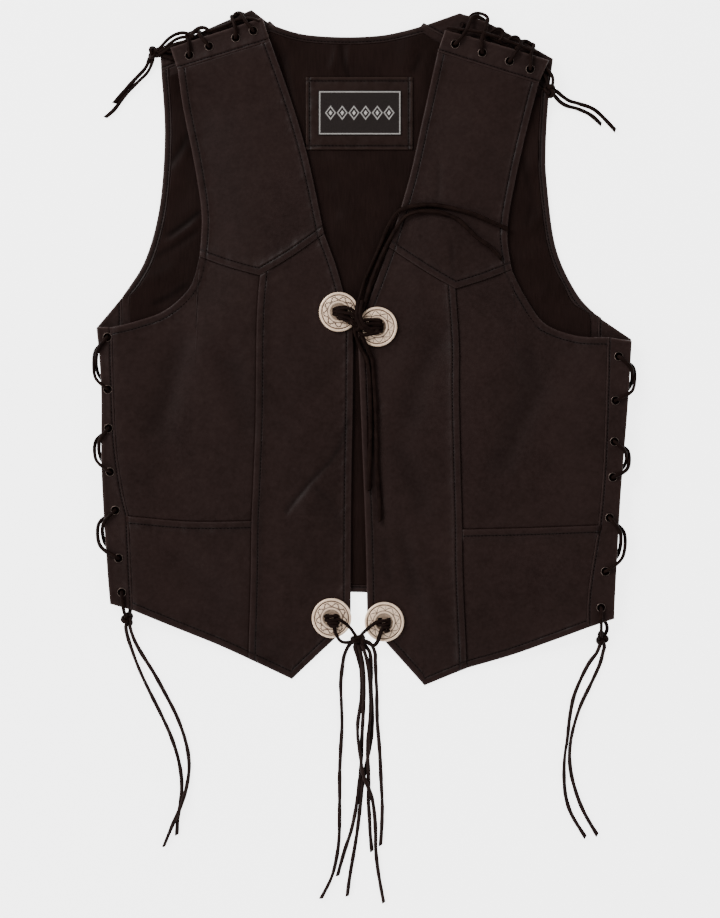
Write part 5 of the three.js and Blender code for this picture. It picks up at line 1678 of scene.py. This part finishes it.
# Radii of the surface's rings: from, to and how many
DISC_RINGS = [(0.25, 10, 15), (10, 15.2, 30), (15.2, 18.7, 18)]
DISC_STEPS = 192 # round the disc
SLOT_CORNERS = 16
SLOT_ASIDE, SLOT_HALF, SLOT_CORNER = 4.0, (2.1, 4.0), 1.0


def engraving(radius, angle, kind, turn):
    """How deep the pattern is cut, 0 to 1, in the band between the rings."""
    band = soft((radius - 10.5) / 0.5) * soft((15.1 - radius) / 0.5)
    a = angle + turn
    if kind == "scroll":
        wave = 12.8 + 1.5 * np.sin(a * 9)
        stem = hump(radius - wave, 0.42)
        curl = np.cos(a * 9 + np.pi / 2)
        aside = 12.8 * (np.mod(a * 9 / np.pi + 0.5, 1) - 0.5) * np.pi / 9
        turn_round = np.hypot((radius - 12.8) + 0.9 * np.sign(curl), aside)
        eyes = hump(turn_round - 0.9, 0.25)
        pebbles = 0.45 * np.sin(radius * 7.5) * np.sin(a * 95)
        return band * np.clip(stem + eyes + np.maximum(pebbles, 0) * 0.6, 0, 1)
    share = np.mod(a / (2 * np.pi) * 8, 1)
    slope = np.where(share < 0.5, share * 2, 2 - share * 2)
    zigzag = hump(radius - (10.8 + 4.2 * slope), 0.4)
    rays = hump(np.mod(a / (2 * np.pi) * 8 + 0.5, 1) - 0.5, 0.016)
    return band * np.clip(zigzag + 0.8 * rays * (radius > 11.5), 0, 1)


def add_concho(name, middle, kind, turn):
    """Height = turned shape + beads round the thin ring + hammering of the middle - 0.42 mm
    × engraving. The two slots are cut out at the end."""
    rings = np.unique(np.concatenate([np.linspace(*row) for row in DISC_RINGS]))
    angle = np.arange(DISC_STEPS) * 2 * np.pi / DISC_STEPS
    r, a = np.meshgrid(rings, angle, indexing="ij")
    height = np.interp(r, TURNED_SHAPE[:, 0], TURNED_SHAPE[:, 1])
    cuts = engraving(r, a, kind, turn)
    beads = 0.1 * np.cos(a * 72) * hump(r - 9.2, 0.5)
    hammered = 0.05 * np.sin(r * 2.1 + 3 * np.sin(a * 5)) * np.sin(a * 23 + r)
    height = height - 0.42 * cuts + beads + hammered * (r < 8)
    grooves = hump(r - 15.85, 0.5) + 0.9 * hump(r - 10.4, 0.42)
    grooves = grooves + 0.5 * (r < 8.2)
    hollow = np.clip(cuts + grooves, 0, 1)
    top = np.stack([r * np.cos(a), r * np.sin(a), height], axis=-1).reshape(-1, 3)
    below = [np.stack([q * np.cos(angle), q * np.sin(angle), np.full_like(angle, z)], axis=-1)
             for q, z in UNDERSIDE]
    wall = np.concatenate([top.reshape(len(rings), -1, 3), np.array(below)])
    rows = wall.shape[0]
    faces = grid_faces(rows, DISC_STEPS, round_columns=True)
    ends = np.array([[0, 0, height[0].mean()], [0, 0, 0.0]])
    k, total = np.arange(DISC_STEPS), rows * DISC_STEPS
    lids = [fan(total, k), fan(total + 1, k + total - DISC_STEPS)[:, [0, 2, 1]]]
    triangles = np.concatenate([faces[:, [0, 2, 1]], faces[:, [0, 3, 2]], *lids])
    places = np.concatenate([wall.reshape(-1, 3), ends]) + [*middle, CONCHO_SEAT]
    values = np.concatenate([hollow.ravel(), np.full(len(UNDERSIDE) * DISC_STEPS, 0.6), [0.5, 0.6]])
    piece = add_piece("concho_" + name, places, triangles, NICKEL, "nickel", ["concho_" + name],
                      values={"hollow": values})
    cut_out(piece, slot_tool(middle))


def slot_tool(middle):
    """Two upright posts with rounded corners that cut the slots."""
    angle = (np.arange(SLOT_CORNERS) + 0.5) * 2 * np.pi / SLOT_CORNERS
    rim = np.stack([np.cos(angle), np.sin(angle)], axis=1)
    outline = rim * SLOT_CORNER + np.sign(rim) * (np.array(SLOT_HALF) - SLOT_CORNER)
    spots = [(middle[0] + way, middle[1]) for way in (-SLOT_ASIDE, SLOT_ASIDE)]
    return upright(outline, spots, CONCHO_SEAT - 2, CONCHO_SEAT + 6, NICKEL)


for k, (name, middle) in enumerate(CONCHOS.items()):
    add_concho(name, middle, "scroll" if "left" in name else "rays", 0.35 + 0.7 * k)
print("discs:", len(CONCHOS))

# %% [markdown]
# ## Laces through the conchos
# Each concho hangs on a lace that comes up through one slot, lies over the bar between the
# slots and goes to the knot that ties the two fronts together.

# %% Concho laces
CONCHO_LACES = {
    "upper_left": [(-27.7, 34, 6.4), (-27.7, 34, 11.6), (-19.7, 33.4, 11.7), (-14, 28, 12.2)],
    "upper_right": [(16.5, 19, 6.4), (16.5, 19, 11.6), (8.5, 18.4, 11.7), (-0.4, 20, 12.4)],
    "lower_left_short": [(-26.5, -254, 6.4), (-26.5, -254, 11.6), (-20.5, -256, 11.6), (-12.5, -263, 10.6),
                         (-10, -267.5, 8)],
    "lower_left_long": [(-34.5, -254, 6.4), (-34.5, -254, 11.6), (-28.6, -259.4, 11.6), (-26.9, -267.5, 10.8),
                        (-23, -275.5, 9.2), (-17.5, -277.3, 6.8), (-13, -276.4, 5.3)],
    "lower_right_short": [(15, -257.5, 6.4), (15, -257.5, 11.6), (9, -258.7, 11.6), (2.5, -264.5, 10.6),
                          (-1.5, -268.3, 8)],
    "lower_right_long": [(23, -257.5, 6.4), (23, -257.5, 11.6), (16.6, -263.6, 11.6), (14.3, -271.5, 11.2),
                         (12.4, -276.5, 10.8), (9.5, -280.2, 7.6), (5.5, -278.8, 5.6), (2.6, -276.6, 5.2)],
}


def add_concho_lace(name, spots):
    """A lace from under its disc through a slot to the knot."""
    knot = np.array(KNOTS[name.split("_")[0]]["at"])
    last = np.array(spots[-1], float)
    route = np.array(list(spots) + [tuple(last * 0.4 + knot * 0.6)], float)
    line = rounded(route, 3)
    path = evenly(line, int(lengths_along(line)[-1]))
    twist = 0.4 * np.sin(lengths_along(path) / 9)
    places, faces, along = sweep(path, 4.0, 3.2, twist, frame_of=lambda p: carried_frame(p, (0.6, 0.8, 0)))
    name = "concho_lace_" + name
    add_piece(name, places, faces, LACE_LEATHER, "lace", [name], along=along)


for name, spots in CONCHO_LACES.items():
    add_concho_lace(name, spots)
print("laces through conchos:", len(CONCHO_LACES))

# %% [markdown]
# A lace is wound round the bar between a concho's slots before it goes on to the knot, so
# a dark block of turns lies over each disc's middle. The upper pair hangs closer together,
# and there more turns run from disc to disc across the knot.

# %% Turns round the conchos
def add_turns(name, strands, wide=3.9, thick=3.2):
    """Several rounded strands as one piece."""
    parts = []
    for spots in strands:
        line = rounded(np.array(spots, float), 3)
        path = evenly(line, int(lengths_along(line)[-1]))
        parts.append(sweep(path, wide, thick, 0.3 * np.sin(lengths_along(path) / 6),
                           frame_of=lambda p: carried_frame(p, (0.3, 0.9, 0.1))))
    sizes = np.cumsum([0] + [len(part[0]) for part in parts])
    places = np.concatenate([part[0] for part in parts])
    faces = np.concatenate([part[1] + start for part, start in zip(parts, sizes)])
    along = np.concatenate([part[2] for part in parts])
    add_piece(name, places, faces, LACE_LEATHER, "lace", along=along)


# Turns over each bar: a strand's left end and right end, x and y from the disc's middle
TURNS = {
    "upper_left": [
        (-3.8, 2.6, 6.6, 4.4), (-4.2, 0, 7.6, 0.6), (-3.6, -2.8, 7.2, -3.4), (-0.5, -6, 7, -7),
    ],
    "upper_right": [
        (-6.5, 4.6, 3.6, 5.2), (-7.5, 1.4, 4.4, 1.8), (-7.5, -2, 4.4, -1.6), (-7, -5.4, 3.8, -4.4),
    ],
    "lower_left": [
        (-6.6, 1.6, 6.4, 2.2), (-5.6, -1.4, 6.8, -1.2), (-2.8, -4.8, 5.8, -4.4), (-1, -7, 5, -6.8),
    ],
    "lower_right": [
        (-9.4, -0.2, 4.6, 1.6), (-6, -2.6, 4.4, -1.6), (-0.6, -5.2, 4, -5), (0.6, -8.2, 3.6, -8),
    ],
}
for name, (x, y) in CONCHOS.items():
    turns = []
    for k, (left, left_y, right, right_y) in enumerate(TURNS[name]):
        in_slot = [abs(v) < 3 for v in (left_y, right_y)]
        low = [7.2 if hidden else 10.2 for hidden in in_slot]
        deep = [max(left, -4.2) if in_slot[0] else left, min(right, 4.2) if in_slot[1] else right]
        turns.append([(x + deep[0], y + left_y, low[0]), (x + left, y + left_y, 11.2),
                      (x + (left + right) / 2, y + (left_y + right_y) / 2 + 0.5 * (-1) ** k, 12.8),
                      (x + right, y + right_y, 11.2), (x + deep[1], y + right_y, low[1])])
    add_turns(f"turns_{name}", turns)
add_turns("turns_between", [
    [(-26, 35.5, 11.6), (-18, 37.5, 13.2), (-11, 36.5, 13.8), (-8, 30, 13.6)],
    [(-26, 33, 12), (-18, 33, 13.8), (-11, 31, 14.2), (-6, 25, 14)],
    [(-24, 30, 11.8), (-17, 28.5, 13.4), (-11, 26, 13.8), (-6, 20, 13.8)],
    [(-21, 27.5, 11.4), (-15, 24.5, 12.6), (-10, 22, 13.2), (-6, 17, 13.2)],
    [(15, 26, 11.6), (8, 26.5, 13.2), (0, 26, 13.6), (-6, 24, 13.6)],
    [(15.5, 22.5, 12), (8, 22.5, 13.8), (0, 22, 14.2), (-6, 22, 13.8)],
    [(15, 18.5, 12), (8, 18, 13.8), (1, 17, 14.2), (-6, 19, 13.6)],
    [(14, 14.5, 11.6), (7, 13, 13), (0, 11.5, 13.2), (-5, 14, 13)],
    [(-5.5, 44, 10.5), (-6.8, 36, 14.4), (-7.2, 28, 16), (-3.5, 20, 16), (3, 15.4, 14.4), (9, 15, 12.6)],
    [(-1.8, 44, 10.5), (-3.6, 36, 14.2), (-4, 28.5, 15.8), (-0.5, 21.5, 15.8), (5, 17.5, 14.4),
     (10, 17.5, 12.6)],
])
# The lace's spare length is wound once more along each shoulder's edge
add_turns("turns_shoulder_left", [
    [(-194, 277.5, 8), (-188, 281.5, 8), (-181, 287.5, 8.6), (-173, 292, 9), (-165, 292, 9)],
    [(-192.5, 275.5, 8.4), (-184, 281.5, 8.8), (-176, 286.5, 9), (-167, 288, 9)],
    [(-195, 279, 7.6), (-190, 284, 8.4), (-182.4, 292, 9.4), (-173, 296.2, 9.8), (-165.4, 295.6, 9.8),
     (-160, 291, 10.6)],
    [(-165, 287, 10), (-161.5, 295, 9.8), (-156, 300.5, 9.6), (-149.5, 301.2, 9.6), (-145.5, 297.5, 10)],
    [(-147, 297, 9.6), (-138, 300.5, 9.2), (-129, 303.4, 9), (-119.7, 308.4, 9.2), (-107.2, 310, 9.4),
     (-98, 306.5, 9.6)],
], 4.3, 3.2)
add_turns("turns_shoulder_right", [
    [(78, 301, 10), (89, 299, 11.6), (105.7, 297, 12), (120.7, 293.4, 11.6), (134, 288.4, 11.4),
     (150.8, 282, 11.4), (164, 277, 10.6)],
    [(117, 295, 8.6), (123.5, 300.4, 9.4), (129.5, 300, 9.6), (132, 294, 10.4), (127, 288, 12.8)],
    [(133, 288, 8.6), (139.5, 292.8, 9.4), (145, 292.2, 9.6), (147.5, 286, 10.4), (142, 280, 12.8)],
], 3.4, 2.9)
print("blocks of turns:", len(TURNS) + 3)

# %% [markdown]
# ## The label
# A patch of leather is stitched to the lining under the neck, and a woven label lies on
# it. The weaving is plain: a pale border line and a row of lozenges.

# %% Label
LABEL_MARGINS = np.array([0, 0.2, 0.6, 1.1, 2.0, 2.9, 3.3, 3.6, 3.9, 4.4, 5.5, 8])


def rectangle(left, right, low, high):
    """The four edges of a rectangle, each as nine places."""
    corners = {
        "top": [(left, high), (right, high)], "bottom": [(left, low), (right, low)],
        "left": [(left, high), (left, low)], "right": [(right, high), (right, low)],
    }
    return {edge: np.linspace(*ends, 9) for edge, ends in corners.items()}


ON_LINING = BACK_LEATHER + LINING + 0.6 # mm over the table
PATCH_EDGES = rectangle(-54.8, 45.8, 187, 255.3)
add_panel(
    "label_patch",
    {
        "edges": PATCH_EDGES, "kinks": [], "lines": (40, 28),
        "kinds": sewn(**dict.fromkeys(PATCH_EDGES, "flat")),
    },
    lambda p: np.full(p.shape[:-1], ON_LINING), 1.2, LABEL_LEATHER, 80, ["back_lining"],
    margins=LABEL_MARGINS, line=7, fold=(0.0, 3, 1),
)
YARN = 0.7 # mm from one thread to the next but one


def woven_finish():
    """Threads over and under one another, dark, and pale where the attribute pale is 1."""
    finish = Finish("woven", Specular_IOR_Level=0.25)
    waves = [finish.node("ShaderNodeSeparateXYZ", {}, {0: finish.place}, output=axis) * (2000 * np.pi / YARN)
             for axis in (0, 1)]
    across, down = (finish.node("ShaderNodeMath", {"operation": "SINE"}, {0: wave}) for wave in waves)
    warp = across * down
    yarn = finish.noise(0.6, 2.0)
    share = finish.attribute("pale")
    shade = finish.blend(yarn, colour(20, 14, 13), colour(34, 25, 22))
    pale = finish.blend(yarn, colour(154, 149, 145), colour(198, 194, 190))
    finish.feed("Base Color", finish.blend(share, shade, pale))
    finish.feed("Roughness", 0.7 + yarn * 0.2)
    finish.bump(warp * 0.5 + yarn * 0.5 + share * 0.6, 0.12, 0.7)
    return finish.material


def add_woven(name, left, right, low, high, height, thickness):
    """A closed plate on a fine grid. Lines and lozenges are distances from their edges."""
    x, y = np.meshgrid(np.linspace(left, right, 157), np.linspace(high, low, 85))
    places = np.stack([x, y], axis=-1)
    rim = np.minimum.reduce([x - left, right - x, y - low, high - y])
    border = hump(rim - 1.3, 0.42)
    u = np.mod(x - left - 6, 11) - 5.5
    lozenge = np.abs(u) / 5.0 + np.abs(y - (low + high) / 2) / 6.6
    across = (x > left + 6) & (x < right - 6)
    figure = np.where(across, hump(lozenge - 0.9, 0.1) + (lozenge < 0.35), 0)
    pale = np.clip(border + figure, 0, 1)
    under = np.full(x.shape, height)
    points, faces, inner = shell(places, under, under + thickness - 0.1 + 0.1 * pale, rim)
    values = np.concatenate([pale.ravel(), np.zeros(int(inner.sum()))])
    piece = add_piece(name, points, faces, woven_finish(), "woven_label", [name], values={"pale": values})


add_woven("label_woven", -43, 35, 200.5, 242.5, ON_LINING + 1.5, 0.8)

# %% [markdown]
# ## The table
# A wide plain floor stands for the table.

# %% Table
def floor_finish():
    """A white top that gives off light of its own, so that it stays white under soft lamps."""
    finish = Finish("table_top", Specular_IOR_Level=0.1, Emission_Strength=3.6)
    haze = finish.noise(400, 2.0)
    finish.feed("Emission Color", finish.blend(haze, (0.98, 0.98, 0.98, 1), (1, 1, 1, 1)))
    finish.feed("Base Color", finish.blend(haze, (0.86, 0.86, 0.86, 1), (0.89, 0.89, 0.89, 1)))
    finish.feed("Roughness", 0.8 + haze * 0.1)
    return finish.material


TABLE_HALF, TABLE_LINES = 3000, 13 # mm from its middle to its edge, and lines of its grid
spots = np.linspace(-TABLE_HALF, TABLE_HALF, TABLE_LINES)
x, y = np.meshgrid(spots, spots)
places = np.stack([x, y, x * 0], axis=-1).reshape(-1, 3) + MIDDLE
table_top = add_mesh("table_top", places, grid_faces(TABLE_LINES, TABLE_LINES), floor_finish())
print("the table is", 2 * TABLE_HALF, "mm wide")
